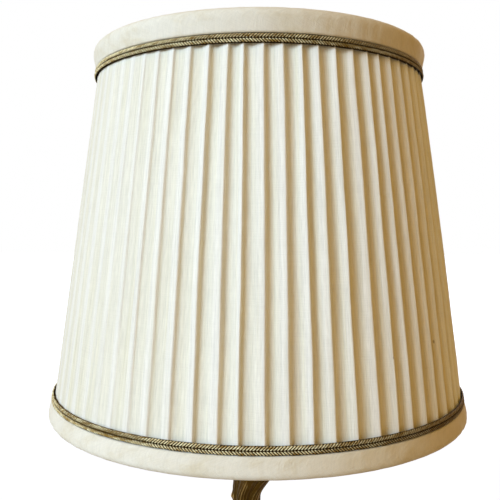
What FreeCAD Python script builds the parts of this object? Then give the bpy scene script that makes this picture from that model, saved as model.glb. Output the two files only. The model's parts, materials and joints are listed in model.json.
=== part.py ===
import FreeCAD, Part
import math
import os
import re
import Sketcher
from FreeCAD import Placement, Vector

# A candle lamp: a swirled bronze candlestick with an electric candle, a wire carrier that lifts
# the shade over the bulb, a gimbal, and a pleated silk shade. Millimetres, +Z up, the origin in
# the middle of the felt under the foot, the front of the lamp towards -Y.

doc = FreeCAD.newDocument("CandleLamp")
sheet = doc.addObject("Spreadsheet::Sheet", "Sizes")
sizes = {
    # Clearances and cuts
    "overrun": 1,
    "soft_gap": 0.3,
    "seat_gap": 0.2,
    "turning_gap": 0.3,
    "pin_gap": 0.06,
    "press_gap": 0.03,
    "slip_gap": 0.1,

    # Shade: the finished outside, its layers from the outside in, and its trimmings
    "shade_high": 170,
    "shade_bottom_across": 200,
    "shade_top_across": 157.6,
    "cover_bottom_inset": 1.6,
    "cover_top_inset": 3.6,
    "pleat_count": 69,
    "pleat_deep": 1.2,
    "cover_thick": 0.5,
    "frame_wire": 2.2,
    "rib_wire": 2,
    "rib_count": 6,
    "lining_thick": 0.5,
    "binding_thick": 0.9,
    "binding_round": 2,
    "bottom_binding_high": 8.7,
    "top_binding_high": 9.6,
    "bottom_braid_high": 3.6,
    "top_braid_high": 4,
    "braid_thick": 1.8,
    "braid_round": 0.6,

    # Spider and gimbal
    "spider_drop": 13,
    "arm_wire": 2.4,
    "arm_count": 3,
    "hoop_bore": 29.6,
    "hoop_wall": 1.8,
    "hoop_high": 8,
    "gimbal_across": 27,
    "gimbal_wall": 2,
    "gimbal_floor": 2,
    "gimbal_high": 7.8,
    "gimbal_pivot_up": 4.8,
    "pivot_across": 3,
    "pivot_proud": 0.8,

    # Carrier
    "spigot_across": 9.8,
    "spigot_long": 12,
    "spigot_tip": 1.5,
    "collar_across": 20,
    "collar_thick": 3,
    "bulb_headroom": 5.6,
    "bulb_side_room": 3.8,
    "carrier_ring_across": 41,
    "carrier_ring_thick": 1.6,
    "carrier_wire": 2.4,
    "carrier_foot_out": 19,
    "carrier_top_out": 7.5,
    "carrier_belly_up": 22,
    "carrier_shoulder_below": 35.8,
    "carrier_neck_below": 9.8,

    # Bulb
    "bulb_long": 96,
    "bulb_across": 35,
    "bulb_belly_up": 52,
    "bulb_wall": 0.8,
    "bulb_tip_across": 4,
    "cap_across": 13.5,
    "cap_wall": 0.4,
    "cap_up": 5,
    "cap_long": 19,
    "cap_flare_across": 17,
    "cap_flare_high": 3,
    "end_contact_across": 5,
    "end_contact_thick": 1.6,
    "insulator_top_across": 12,
    "bulb_stem_across": 6,
    "bulb_stem_long": 22,
    "lead_wire": 0.6,
    "lead_out": 4.6,
    "lead_long": 16,
    "filament_wire": 0.5,
    "filament_rise": 5,

    # Lampholder
    "holder_thread_across": 27.4,
    "holder_thread_long": 22,
    "holder_flange_across": 34,
    "holder_flange_thick": 2,
    "holder_skirt_across": 26,
    "holder_skirt_long": 6,
    "holder_bore": 16.4,
    "shell_wall": 0.5,
    "shell_across": 14.6,
    "shell_long": 21,
    "core_across": 22,
    "core_high": 8,
    "core_bore": 4,
    "holder_cap_across": 27.6,
    "holder_cap_high": 18,
    "holder_cap_wall": 1.6,
    "holder_cap_floor": 6,
    "tongue_wide": 5,
    "tongue_thick": 0.6,
    "tongue_rise": 3,
    "tongue_out": 4.5,
    "terminal_across": 3.4,
    "terminal_long": 3,
    "terminal_out": 8,
    "keeper_across": 33,
    "keeper_high": 7,
    "keeper_round": 1,

    # Candle, nozzle, drip pan and calyx
    "candle_across": 32,
    "candle_wall": 1.1,
    "candle_long": 63.8,
    "nozzle_high": 15,
    "nozzle_floor": 3,
    "nozzle_wall": 2,
    "nozzle_lip": 1.5,
    "pan_across": 72,
    "pan_high": 5,
    "pan_wall": 1.2,
    "pan_foot_across": 38,
    "pan_scallops": 12,
    "pan_scallop_deep": 2.2,
    "calyx_high": 10,
    "calyx_top_across": 42,
    "calyx_leaves": 8,
    "calyx_leaf_deep": 2,

    # Stem
    "stem_high": 134,
    "stem_half": 14,
    "stem_sway": 5,
    "stem_lobes": 5,
    "stem_lobe_deep": 1.6,
    "stem_twist": 75,
    "wire_bore": 4.6,
    "stud_across": 10,
    "stud_bore": 6.6,
    "stud_in_stem": 9,

    # Foot
    "felt_thick": 1.5,
    "felt_inset": 4,
    "foot_across": 130,
    "foot_high": 44.5,
    "foot_lobes": 8,
    "foot_lobe_deep": 3,
    "foot_twist": 40,
    "foot_start_angle": 90,
    "foot_wall": 6,
    "foot_ledge": 2,
    "foot_cavity_high": 32.5,
    "knop_high": 10,
    "knop_across": 33,
    "knop_neck_across": 26,
    "knop_waist_across": 18.7,
    "plate_thick": 1.5,
    "weight_gap": 3,
    "weight_bore": 30,
    "weight_high": 8,
    "post_across": 8,
    "post_inset": 9,
    "post_count": 3,
    "screw_across": 3,
    "screw_long": 7,
    "washer_across": 22,
    "washer_thick": 1.5,
    "nut_flats": 14,
    "nut_high": 5,
    "foot_stud_below": 9,
    "bush_across": 7,
    "bush_bore": 5,
    "bush_flange_across": 11,
    "bush_flange_thick": 1.2,
    "bush_up": 6,
}

for row, (alias, value) in enumerate(sizes.items(), start=1):
    sheet.set(f"A{row}", alias.replace("_", " "))
    sheet.set(f"B{row}", str(value))
    sheet.setAlias(f"B{row}", alias)
doc.recompute()

# Levels, each worked out from the pieces below it
foot_bottom = "felt_thick"
foot_top = f"({foot_bottom} + foot_high)"
plate_top = f"({foot_bottom} + plate_thick)"
foot_roof = f"({foot_bottom} + foot_cavity_high)"
knop_top = f"({foot_top} + knop_high)"
stem_top = f"({knop_top} + stem_high)"
calyx_top = f"({stem_top} + calyx_high)"
pan_floor = f"({calyx_top} + pan_wall)"
nozzle_floor_top = f"({pan_floor} + nozzle_floor)"
candle_top = f"({nozzle_floor_top} + candle_long)"
holder_seat = f"({candle_top} + holder_flange_thick)"
holder_top = f"({holder_seat} + holder_thread_long)"
skirt_bottom = f"({candle_top} - holder_skirt_long)"
core_top = f"({skirt_bottom} + holder_cap_wall)"
core_bottom = f"({core_top} - core_high)"
holder_cap_top = f"({skirt_bottom} + holder_cap_wall)"
holder_cap_bottom = f"({holder_cap_top} - holder_cap_high)"
tongue_top = f"({core_top} + tongue_thick + tongue_rise)"
bulb_bottom = f"({tongue_top} + seat_gap)"
bulb_cap_bottom = f"({bulb_bottom} + cap_up)"
bulb_cap_top = f"({bulb_cap_bottom} + cap_long)"
glass_bottom = f"({bulb_cap_top} - cap_flare_high)"
bulb_top = f"({bulb_bottom} + bulb_long)"
carrier_bottom = f"({holder_seat} + seat_gap)"
carrier_ring_top = f"({carrier_bottom} + carrier_ring_thick)"
carrier_top = f"({bulb_top} + bulb_headroom + collar_thick)"
gimbal_bottom = f"({carrier_top} + seat_gap)"
pivot_level = f"({gimbal_bottom} + gimbal_pivot_up)"
shade_top = f"({pivot_level} + spider_drop)"
shade_bottom = f"({shade_top} - shade_high)"

# Radii in the foot, outside to inside
foot_recess = "(foot_across / 2 - foot_wall)"
post_out = f"({foot_recess} - post_inset)"
weight_out = f"({post_out} - post_across / 2 - weight_gap)"

# Radii of the shade's layers on its slanting wall, outside to inside, at a height above its rim
cover_at_bottom = "(shade_bottom_across / 2 - cover_bottom_inset)"
cover_at_top = "(shade_top_across / 2 - cover_top_inset)"


def cover_radius(up):
    """Radius of the pleats' ridges at a height above the shade's bottom rim."""
    return f"({cover_at_bottom} + ({cover_at_top} - {cover_at_bottom}) * ({up}) / shade_high)"


def frame_radius(up):
    """Radius of the frame wires' middle line at a height above the shade's bottom rim."""
    return f"({cover_radius(up)} - pleat_deep - cover_thick - soft_gap - frame_wire / 2)"


def lining_radius(up):
    """Outer radius of the lining at a height above the shade's bottom rim."""
    return f"({frame_radius(up)} - frame_wire / 2 - soft_gap)"


# The document's tools

def worth(text):
    """The number that a sum of sizes comes to."""
    return float(sheet.evalExpression(text))


def bound(text):
    """The same sum with each size named as a cell of the sheet."""
    return re.sub(r"[a-z][a-z_]*", lambda word: cell(word.group()), text)


def cell(word):
    """A size's full name, or the word itself where it names a function."""
    return "Sizes." + word if word in sizes else word


def bind(piece, **sums):
    """Set properties of a piece to sums of sizes."""
    for name, text in sums.items():
        piece.setExpression(name.replace("_", "."), bound(text))


def new_body(label):
    """An empty body that is one piece of the lamp."""
    body = doc.addObject("PartDesign::Body", label)
    body.Label = label
    return body


def new_sketch(body, name, role, lift=None):
    """A sketch on one of the body's own planes, lifted off it along its normal."""
    sketch = body.newObject("Sketcher::SketchObject", f"{body.Name}_{name}")
    plane = [part for part in body.Origin.OriginFeatures if part.Role == role][0]
    sketch.AttachmentSupport = [(plane, "")]
    sketch.MapMode = "FlatFace"
    if lift:
        sketch.setExpression("AttachmentOffset.Base.z", bound(lift))
    return sketch


def pin_point(sketch, geometry, end, across, up):
    """Hold a point of the sketch at sums of sizes from its origin."""
    for kind, text in (("DistanceX", across), ("DistanceY", up)):
        number = sketch.addConstraint(Sketcher.Constraint(kind, -1, 1, geometry, end, worth(text)))
        if abs(worth(text)) > 0:
            sketch.setExpression(f"Constraints[{number}]", bound(text))


def draw_outline(sketch, outline):
    """Draw a closed outline. Each point is (across, up); with two more sums, the line to it
    is an arc that passes through them."""
    spots = [Vector(worth(point[0]), worth(point[1]), 0) for point in outline]
    first = sketch.GeometryCount
    count = len(outline)
    for number in range(count):
        start = spots[number]
        target = outline[(number + 1) % count]
        end = spots[(number + 1) % count]
        if len(target) == 4:
            through = Vector(worth(target[2]), worth(target[3]), 0)
            sketch.addGeometry(Part.Arc(start, through, end), False)
        else:
            sketch.addGeometry(Part.LineSegment(start, end), False)
    ends = [outline_ends(sketch, first + number, spots[number]) for number in range(count)]
    for number in range(count):
        following = (number + 1) % count
        sketch.addConstraint(Sketcher.Constraint(
            "Coincident", first + number, ends[number][1], first + following, ends[following][0]))
        pin_point(sketch, first + number, ends[number][0], outline[number][0], outline[number][1])
        target = outline[following]
        if len(target) == 4:
            through = sketch.addGeometry(Part.Point(Vector(worth(target[2]), worth(target[3]), 0)), True)
            sketch.addConstraint(Sketcher.Constraint("PointOnObject", through, 1, first + number))
            pin_point(sketch, through, 1, target[2], target[3])


def outline_ends(sketch, geometry, start):
    """Which ends of a line or arc are its start and its end, as drawn round the outline."""
    if sketch.getPoint(geometry, 1).isEqual(start, worth("press_gap") / 10):
        return 1, 2
    return 2, 1


def turned(label, outline):
    """A piece turned on the lamp's axis from an outline of (radius, height) points."""
    body = new_body(label)
    sketch = new_sketch(body, "outline", "XZ_Plane")
    draw_outline(sketch, outline)
    turn = body.newObject("PartDesign::Revolution", f"{label}_turn")
    turn.Profile = sketch
    turn.ReferenceAxis = (sketch, ["V_Axis"])
    turn.Angle = 360
    return body


def tube(label, bore, across, bottom, top):
    """A plain ring or tube on the lamp's axis."""
    return turned(label, [
        (f"{bore} / 2", bottom),
        (f"{across} / 2", bottom),
        (f"{across} / 2", top),
        (f"{bore} / 2", top),
    ])


def pierce(body, name, role, spots, across, lift=None):
    """Drill holes right through a body, square to one of its planes."""
    sketch = new_sketch(body, name, role, lift)
    for spot in spots:
        centre = Vector(worth(spot[0]), worth(spot[1]), 0)
        circle = sketch.addGeometry(Part.Circle(centre, Vector(0, 0, 1), worth(f"{across} / 2")), False)
        number = sketch.addConstraint(Sketcher.Constraint("Diameter", circle, worth(across)))
        sketch.setExpression(f"Constraints[{number}]", bound(across))
        pin_point(sketch, circle, 3, spot[0], spot[1])
    cut = body.newObject("PartDesign::Pocket", f"{body.Name}_{name}_cut")
    cut.Profile = sketch
    cut.Type = "ThroughAll"
    cut.Midplane = True
    return cut


def repeat(body, cut, count):
    """Repeat a cut round the lamp's axis."""
    pattern = body.newObject("PartDesign::PolarPattern", f"{cut.Name}_round")
    pattern.Originals = [cut]
    pattern.Axis = (cut.Profile[0], ["N_Axis"])
    pattern.Angle = 360
    pattern.setExpression("Occurrences", bound(count))
    body.Tip = pattern


def formed(label, shape):
    """A piece whose shape comes from a formula."""
    piece = doc.addObject("Part::Feature", label)
    piece.Label = label
    piece.Shape = shape
    piece.Placement = Placement()
    return piece


def cylinder(across, bottom, top, out=0.0, angle=0.0):
    """An upright cylinder, out from the axis at an angle in degrees."""
    spot = Vector(out, 0, bottom)
    bar = Part.makeCylinder(across / 2, top - bottom, spot)
    bar.rotate(Vector(), Vector(0, 0, 1), angle)
    return bar


def rod_between(start, end, across):
    """A round rod from one point to another."""
    return Part.makeCylinder(across / 2, start.distanceToPoint(end), start, end - start)


def around(radius, angle, height):
    """A point at a radius and an angle in degrees."""
    turn = math.radians(angle)
    return Vector(radius * math.cos(turn), radius * math.sin(turn), height)


def lobed_ring(radius, lobe, count, turn, height, sway=0.0):
    """A closed wire of arcs that swell out by lobe between valleys on a circle."""
    middle = Vector(sway, 0, 0)
    step = 360 / count
    arcs = []
    for number in range(count):
        angle = turn + number * step
        start = around(radius, angle, height) + middle
        crest = around(radius + lobe, angle + step / 2, height) + middle
        end = around(radius, angle + step, height) + middle
        arcs.append(Part.Arc(start, crest, end).toShape())
    return Part.Wire(arcs)


def circle_wire(radius, height, sway=0.0):
    """A level circle."""
    return Part.Wire([Part.Circle(Vector(sway, 0, height), Vector(0, 0, 1), radius).toShape()])


# Shade

def pleated_cover():
    """The silk cover: raised flat pleats with a sharp fold on one side, and a recess between."""
    # Each pleat's corners: its angle in pleat steps, and how deep it lies in pleat depths
    pleat_shares = ((0.0, 1.0), (0.12, 0.0), (0.56, 0.0), (0.6, 1.0))
    rim = "(binding_thick + soft_gap)"
    count = int(worth("pleat_count"))
    ends = []
    for up in (rim, f"(shade_high - {rim})"):
        radius = worth(cover_radius(up))
        height = worth(f"{shade_bottom} + {up}")
        bottom_ratio = radius / worth(cover_radius(rim))
        corners = []
        for number in range(count):
            for along, depth in pleat_shares:
                angle = 360 / count * (number + along)
                corners.append(around(radius - depth * worth("pleat_deep") * bottom_ratio, angle, height))
        corners.append(corners[0])
        ends.append((radius, height, Part.makePolygon(corners)))
    low, high = ends
    pleats = Part.makeLoft([low[2], high[2]], True, True)
    wall = worth("pleat_deep + cover_thick")
    hollow = Part.makeCone(low[0] - wall, high[0] - wall, high[1] - low[1], Vector(0, 0, low[1]))
    return formed("pleated_cover", pleats.cut(hollow))


def lining():
    """The smooth silk lining inside the frame, let in round the spider's arms."""
    low = "(binding_thick + soft_gap)"
    high = f"(shade_high - {low})"
    wall = turned("lining_wall", [
        (f"{lining_radius(low)} - lining_thick", f"{shade_bottom} + {low}"),
        (lining_radius(low), f"{shade_bottom} + {low}"),
        (lining_radius(high), f"{shade_bottom} + {high}"),
        (f"{lining_radius(high)} - lining_thick", f"{shade_bottom} + {high}"),
    ])
    return let_in("lining", wall)


def let_in(label, wall):
    """A cloth wall with a hole round each spider arm."""
    holes = formed(f"{label}_arm_holes", Part.makeCompound(arm_rods(worth("arm_wire + 2 * soft_gap"))))
    piece = doc.addObject("Part::Cut", label)
    piece.Label = label
    piece.Base = wall
    piece.Tool = holes
    return piece


def binding(label, across, edge, side, high):
    """A strip of cloth folded over a rim. The edge is the rim's height above the shade's bottom,
    and side is + where the strip runs up from it and - where it runs down."""
    foot = f"({edge} {side} binding_round)"
    inside = f"({edge} {side} binding_thick)"
    hem = f"({edge} {side} {high})"
    outer = f"({across} / 2)"
    inner = f"({lining_radius(edge)} - lining_thick - soft_gap - binding_thick)"
    inner_hem = f"({lining_radius(hem)} - lining_thick - soft_gap - binding_thick)"
    outer_hem = f"({cover_radius(hem)} + soft_gap)"
    bend = "(binding_round * (1 - cos(45)))"
    level = f"({shade_bottom} + {edge})"
    hem_level = f"({shade_bottom} + {hem})"
    foot_level = f"({shade_bottom} + {foot})"
    inside_level = f"({shade_bottom} + {inside})"
    bend_level = f"({level} {side} {bend})"
    return turned(label, [
        (outer_hem, hem_level),
        (f"{outer_hem} + binding_thick", hem_level),
        (outer, foot_level),
        (f"{outer} - binding_round", level, f"{outer} - {bend}", bend_level),
        (f"{inner} + binding_round", level),
        (inner, foot_level, f"{inner} + {bend}", bend_level),
        (inner_hem, hem_level),
        (f"{inner_hem} + binding_thick", hem_level),
        (f"{inner} + binding_thick", inside_level),
        (f"{outer} - binding_thick", inside_level),
    ])


def braid(label, low, high):
    """A gold braid that lies on the pleats between two heights above the rim."""
    return turned(label, [
        (f"{cover_radius(low)} + soft_gap", f"{shade_bottom} + {low}"),
        (f"{cover_radius(low)} + soft_gap + braid_thick - braid_round", f"{shade_bottom} + {low}"),
        (f"{cover_radius(low)} + soft_gap + braid_thick", f"{shade_bottom} + {low} + braid_round"),
        (f"{cover_radius(high)} + soft_gap + braid_thick", f"{shade_bottom} + {high} - braid_round"),
        (f"{cover_radius(high)} + soft_gap + braid_thick - braid_round", f"{shade_bottom} + {high}"),
        (f"{cover_radius(high)} + soft_gap", f"{shade_bottom} + {high}"),
    ])


ring_up = "(binding_thick + soft_gap + frame_wire / 2)"
ring_down = f"(shade_high - {ring_up})"


def frame_ring(label, up):
    """A wire ring of the shade's frame."""
    ring = doc.addObject("Part::Torus", label)
    ring.Label = label
    bind(ring, Radius1=frame_radius(up), Radius2="frame_wire / 2")
    ring.setExpression("Placement.Base.z", bound(f"{shade_bottom} + {up}"))
    return ring


def ribs(rings):
    """The straight wires between the two rings, each welded to both."""
    count = int(worth("rib_count"))
    low = (worth(frame_radius(ring_up)), worth(f"{shade_bottom} + {ring_up}"))
    high = (worth(frame_radius(ring_down)), worth(f"{shade_bottom} + {ring_down}"))
    pieces = []
    for number in range(count):
        angle = 360 / count * number
        rod = rod_between(around(low[0], angle, low[1]), around(high[0], angle, high[1]), worth("rib_wire"))
        for ring in rings:
            rod = rod.cut(ring.Shape)
        pieces.append(formed(f"rib_{number + 1}", rod))
    return pieces


def arm_rods(across):
    """Round rods along the spider's arms, from the hoop's wall to the top ring's wire."""
    count = int(worth("arm_count"))
    inner, outer = worth("(hoop_bore + hoop_wall) / 2"), worth(frame_radius(ring_down))
    low, high = worth(pivot_level), worth(f"{shade_bottom} + {ring_down}")
    angles = [90 + 360 / count * number for number in range(count)]
    return [rod_between(around(inner, angle, low), around(outer, angle, high), across) for angle in angles]


def spider_arms(top_ring, hoop):
    """The arms from the top ring down to the gimbal hoop."""
    pieces = []
    for number, rod in enumerate(arm_rods(worth("arm_wire"))):
        rod = rod.cut(top_ring.Shape).cut(hoop.Shape)
        pieces.append(formed(f"spider_arm_{number + 1}", largest(rod)))
    return pieces


def largest(shape):
    """The largest solid of a shape, where a cut has left a loose end."""
    return max(shape.Solids, key=lambda solid: solid.Volume)


def gimbal_hoop():
    """The hoop that the spider arms carry, bored for the two pivot pins."""
    hoop = tube(
        "gimbal_hoop", "hoop_bore", "(hoop_bore + 2 * hoop_wall)",
        f"{pivot_level} - hoop_high / 2", f"{pivot_level} + hoop_high / 2")
    pierce(hoop, "pin_holes", "YZ_Plane", [("0", pivot_level)], "(pivot_across + 2 * pin_gap)")
    return hoop


# Gimbal

def gimbal_ring():
    """The dished ring that drops over the carrier's spigot and holds the pivot pins."""
    ring = turned("gimbal_ring", [
        ("spigot_across / 2 + turning_gap", gimbal_bottom),
        ("gimbal_across / 2", gimbal_bottom),
        ("gimbal_across / 2", f"{gimbal_bottom} + gimbal_high"),
        ("gimbal_across / 2 - gimbal_wall", f"{gimbal_bottom} + gimbal_high"),
        ("gimbal_across / 2 - gimbal_wall", f"{gimbal_bottom} + gimbal_floor"),
        ("spigot_across / 2 + turning_gap", f"{gimbal_bottom} + gimbal_floor"),
    ])
    pierce(ring, "pin_holes", "YZ_Plane", [("0", pivot_level)], "(pivot_across + 2 * press_gap)")
    return ring


def gimbal_pins():
    """The two pivot pins, pressed into the gimbal ring from both sides."""
    inner = worth("gimbal_across / 2 - gimbal_wall")
    outer = worth("hoop_bore / 2 + hoop_wall + pivot_proud")
    level = worth(pivot_level)
    pins = [
        rod_between(Vector(side * inner, 0, level), Vector(side * outer, 0, level), worth("pivot_across"))
        for side in (-1, 1)
    ]
    return formed("gimbal_pins", Part.makeCompound(pins))


# Carrier

def carrier_ring():
    """The flat ring that the retaining ring clamps on the lampholder's flange."""
    return tube(
        "carrier_ring", "(holder_thread_across + 2 * turning_gap)", "carrier_ring_across",
        carrier_bottom, carrier_ring_top)


def carrier_wire(label, side):
    """A bent wire that passes one side of the bulb, from the flat ring to the collar."""
    wire = worth("carrier_wire")
    foot, neck = worth("carrier_foot_out"), worth("carrier_top_out")
    belly = worth("bulb_across / 2 + bulb_side_room + carrier_wire / 2")
    bottom = worth(carrier_ring_top)
    levels = [
        worth(f"{carrier_bottom} + carrier_belly_up"),
        worth(f"{carrier_top} - carrier_shoulder_below"),
        worth(f"{carrier_top} - carrier_neck_below"),
    ]
    top = worth(f"{carrier_top} - collar_thick")
    spots = [
        Vector(side * foot, 0, bottom),
        Vector(side * foot, 0, (bottom + levels[0]) / 2),
        Vector(side * belly, 0, levels[0]),
        Vector(side * belly, 0, levels[1]),
        Vector(side * neck, 0, levels[2]),
        Vector(side * neck, 0, top),
    ]
    path = rounded_path(spots)
    section = Part.Wire([Part.Circle(spots[0], Vector(0, 0, 1), wire / 2).toShape()])
    return formed(label, path.makePipeShell([section], True, False))


def rounded_path(spots):
    """Straight runs joined by tangent arcs, each as large as its two runs allow."""
    reach_share = 0.45
    edges = []
    last = spots[0]
    for before, corner, after in zip(spots, spots[1:], spots[2:]):
        reach = reach_share * min(before.distanceToPoint(corner), corner.distanceToPoint(after))
        inward = (before - corner).normalize()
        outward = (after - corner).normalize()
        turn = math.pi - inward.getAngle(outward)
        radius = reach / math.tan(turn / 2)
        start = corner + inward * reach
        end = corner + outward * reach
        towards_centre = (inward + outward).normalize()
        middle = corner + towards_centre * (radius / math.cos(turn / 2) - radius)
        edges.append(Part.LineSegment(last, start).toShape())
        edges.append(Part.Arc(start, middle, end).toShape())
        last = end
    edges.append(Part.LineSegment(last, spots[-1]).toShape())
    return Part.Wire(edges)


def carrier_collar():
    """The collar on top of the two wires, with the spigot for the gimbal."""
    return turned("carrier_collar", [
        ("0", f"{carrier_top} - collar_thick"),
        ("collar_across / 2", f"{carrier_top} - collar_thick"),
        ("collar_across / 2", carrier_top),
        ("spigot_across / 2", carrier_top),
        ("spigot_across / 2", f"{carrier_top} + spigot_long - spigot_tip"),
        ("spigot_across / 2 - spigot_tip", f"{carrier_top} + spigot_long"),
        ("0", f"{carrier_top} + spigot_long"),
    ])


# Bulb

def bulb_glass():
    """The candle-shaped glass: neck, belly and drawn-out tip."""
    neck = "(cap_across / 2 - cap_wall - press_gap)"
    belly = "(bulb_across / 2)"
    tip = "(bulb_tip_across / 2)"
    belly_level = f"({bulb_bottom} + bulb_belly_up)"
    shoulder_level = f"({bulb_cap_top} + cap_flare_high)"
    rise = f"({bulb_top} - {belly_level})"
    fall = f"({belly_level} - {shoulder_level})"
    # Half widths and heights of the glass between neck and belly, and between belly and tip
    side_share, side_fall_share, side_rise_share = 0.86, 0.38, 0.4
    flank_share, flank_rise_share = 0.44, 0.72
    side = f"({belly} * {side_share})"
    flank = f"({belly} * {flank_share})"
    low_side_level = f"({belly_level} - {fall} * {side_fall_share})"
    high_side_level = f"({belly_level} + {rise} * {side_rise_share})"
    flank_level = f"({belly_level} + {rise} * {flank_rise_share})"
    return turned("bulb_glass", [
        (neck, glass_bottom),
        (neck, bulb_cap_top),
        (f"{neck} + cap_flare_high / 3", shoulder_level),
        (belly, belly_level, side, low_side_level),
        (flank, flank_level, side, high_side_level),
        (tip, f"{bulb_top} - bulb_tip_across / 2"),
        ("0", bulb_top, f"{tip} * sin(45)", f"{bulb_top} - {tip} * (1 - cos(45))"),
        ("0", f"{bulb_top} - bulb_tip_across"),
        (f"{flank} - bulb_wall", flank_level),
        (f"{side} - bulb_wall", high_side_level),
        (f"{belly} - bulb_wall", belly_level),
        (f"{side} - bulb_wall", low_side_level),
        (f"{neck} + cap_flare_high / 3 - bulb_wall", shoulder_level),
        (f"{neck} - bulb_wall", bulb_cap_top),
        (f"{neck} - bulb_wall", glass_bottom),
    ])


def bulb_cap():
    """The brass screw cap, flared at its top edge round the glass."""
    return turned("bulb_cap", [
        ("cap_across / 2 - cap_wall", bulb_cap_bottom),
        ("cap_across / 2", bulb_cap_bottom),
        ("cap_across / 2", bulb_cap_top),
        ("cap_flare_across / 2", f"{bulb_cap_top} + cap_flare_high"),
        ("cap_flare_across / 2 - cap_wall", f"{bulb_cap_top} + cap_flare_high"),
        ("cap_across / 2 - cap_wall", bulb_cap_top),
    ])


def bulb_insulator():
    """The dark glass bead between the cap and the end contact."""
    return turned("bulb_insulator", [
        ("0", f"{bulb_bottom} + end_contact_thick"),
        ("end_contact_across / 2", f"{bulb_bottom} + end_contact_thick"),
        ("insulator_top_across / 2", bulb_cap_bottom),
        ("insulator_top_across / 2", f"{bulb_cap_bottom} + end_contact_thick"),
        ("0", f"{bulb_cap_bottom} + end_contact_thick"),
    ])


def end_contact():
    """The solder button at the bottom of the bulb."""
    return turned("end_contact", [
        ("0", bulb_bottom),
        ("end_contact_across / 4", bulb_bottom),
        ("end_contact_across / 2", f"{bulb_bottom} + end_contact_thick / 2"),
        ("end_contact_across / 2", f"{bulb_bottom} + end_contact_thick"),
        ("0", f"{bulb_bottom} + end_contact_thick"),
    ])


lead_bottom = f"({glass_bottom} + bulb_stem_long)"
lead_top = f"({lead_bottom} + lead_long)"


def bulb_stem():
    """The glass stem that carries the lead wires."""
    return turned("bulb_stem", [
        ("0", glass_bottom),
        ("cap_across / 2 - cap_wall - press_gap - bulb_wall - soft_gap", glass_bottom),
        ("bulb_stem_across / 2", f"{glass_bottom} + bulb_stem_across"),
        ("bulb_stem_across / 2", lead_bottom),
        ("0", lead_bottom),
    ])


def lead_wires():
    """The two wires that hold the filament's ends."""
    out = worth("lead_out")
    inner = worth("bulb_stem_across / 2 - lead_wire")
    wires = [
        rod_between(
            Vector(side * inner, 0, worth(f"{lead_bottom} + lead_wire / 4")),
            Vector(side * out, 0, worth(lead_top)), worth("lead_wire"))
        for side in (-1, 1)
    ]
    return formed("lead_wires", Part.makeCompound(wires))


def filament():
    """The filament, an arch between the lead wires' tips."""
    out = worth("lead_out")
    level = worth(f"{lead_top} + filament_wire")
    arch = Part.Arc(
        Vector(-out, 0, level), Vector(0, 0, level + worth("filament_rise")), Vector(out, 0, level))
    edge = arch.toShape()
    section = Part.Wire([Part.Circle(
        Vector(-out, 0, level), edge.tangentAt(edge.FirstParameter), worth("filament_wire / 2")).toShape()])
    return formed("filament", Part.Wire([edge]).makePipeShell([section], True, False))


# Lampholder

def holder_body():
    """The upper half of the lampholder: thread outside, flange on the candle, skirt below."""
    return turned("holder_body", [
        ("holder_bore / 2", core_top),
        ("holder_skirt_across / 2 - holder_cap_wall", core_top),
        ("holder_skirt_across / 2 - holder_cap_wall", skirt_bottom),
        ("holder_skirt_across / 2", skirt_bottom),
        ("holder_skirt_across / 2", candle_top),
        ("holder_flange_across / 2", candle_top),
        ("holder_flange_across / 2", holder_seat),
        ("holder_thread_across / 2", holder_seat),
        ("holder_thread_across / 2", holder_top),
        ("holder_bore / 2", holder_top),
    ])


def holder_cap():
    """The lower half of the lampholder, screwed on the upper stud."""
    return turned("holder_cap", [
        ("stud_across / 2 + press_gap", holder_cap_bottom),
        ("holder_cap_across / 2 - holder_cap_wall", holder_cap_bottom),
        ("holder_cap_across / 2", f"{holder_cap_bottom} + holder_cap_wall"),
        ("holder_cap_across / 2", skirt_bottom),
        ("holder_cap_across / 2 - holder_cap_wall", skirt_bottom),
        ("holder_cap_across / 2 - holder_cap_wall", f"{holder_cap_bottom} + holder_cap_floor"),
        ("stud_across / 2 + press_gap", f"{holder_cap_bottom} + holder_cap_floor"),
    ])


def holder_core():
    """The ceramic core under the screw shell."""
    return tube("holder_core", "core_bore", "core_across", core_bottom, core_top)


def screw_shell():
    """The brass shell that takes the bulb's cap."""
    return tube("screw_shell", "(shell_across - 2 * shell_wall)", "shell_across", core_top,
                f"{core_top} + shell_long")


def centre_tongue():
    """The sprung brass tongue under the bulb's end contact."""
    body = new_body("centre_tongue")
    sketch = new_sketch(body, "outline", "XZ_Plane")
    bottom = core_top
    draw_outline(sketch, [
        ("-tongue_out", bottom),
        ("tongue_out / 2", bottom),
        ("-tongue_out / 4", f"{bottom} + tongue_rise"),
        ("tongue_out / 2", f"{bottom} + tongue_rise"),
        ("tongue_out / 2", f"{bottom} + tongue_rise + tongue_thick"),
        ("-tongue_out / 2", f"{bottom} + tongue_rise + tongue_thick"),
        ("tongue_out / 4", f"{bottom} + tongue_thick"),
        ("-tongue_out", f"{bottom} + tongue_thick"),
    ])
    pad = body.newObject("PartDesign::Pad", "centre_tongue_width")
    pad.Profile = sketch
    pad.Midplane = True
    pad.setExpression("Length", bound("tongue_wide"))
    return body


def terminal_screws():
    """The two terminal screws under the core."""
    bottom, top = worth(f"{core_bottom} - terminal_long"), worth(core_bottom)
    screws = [
        cylinder(worth("terminal_across"), bottom, top, worth("terminal_out"), angle)
        for angle in (0, 180)
    ]
    return formed("terminal_screws", Part.makeCompound(screws))


def retaining_ring():
    """The threaded ring that holds the carrier down on the lampholder."""
    bottom = f"({carrier_ring_top} + seat_gap)"
    bore = "(holder_thread_across / 2 + turning_gap)"
    return turned("retaining_ring", [
        (bore, bottom),
        ("keeper_across / 2 - keeper_round", bottom),
        ("keeper_across / 2", f"{bottom} + keeper_round"),
        ("keeper_across / 2", f"{bottom} + keeper_high - keeper_round"),
        ("keeper_across / 2 - keeper_round", f"{bottom} + keeper_high"),
        (bore, f"{bottom} + keeper_high"),
    ])


# Candle, nozzle, drip pan and calyx

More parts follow.
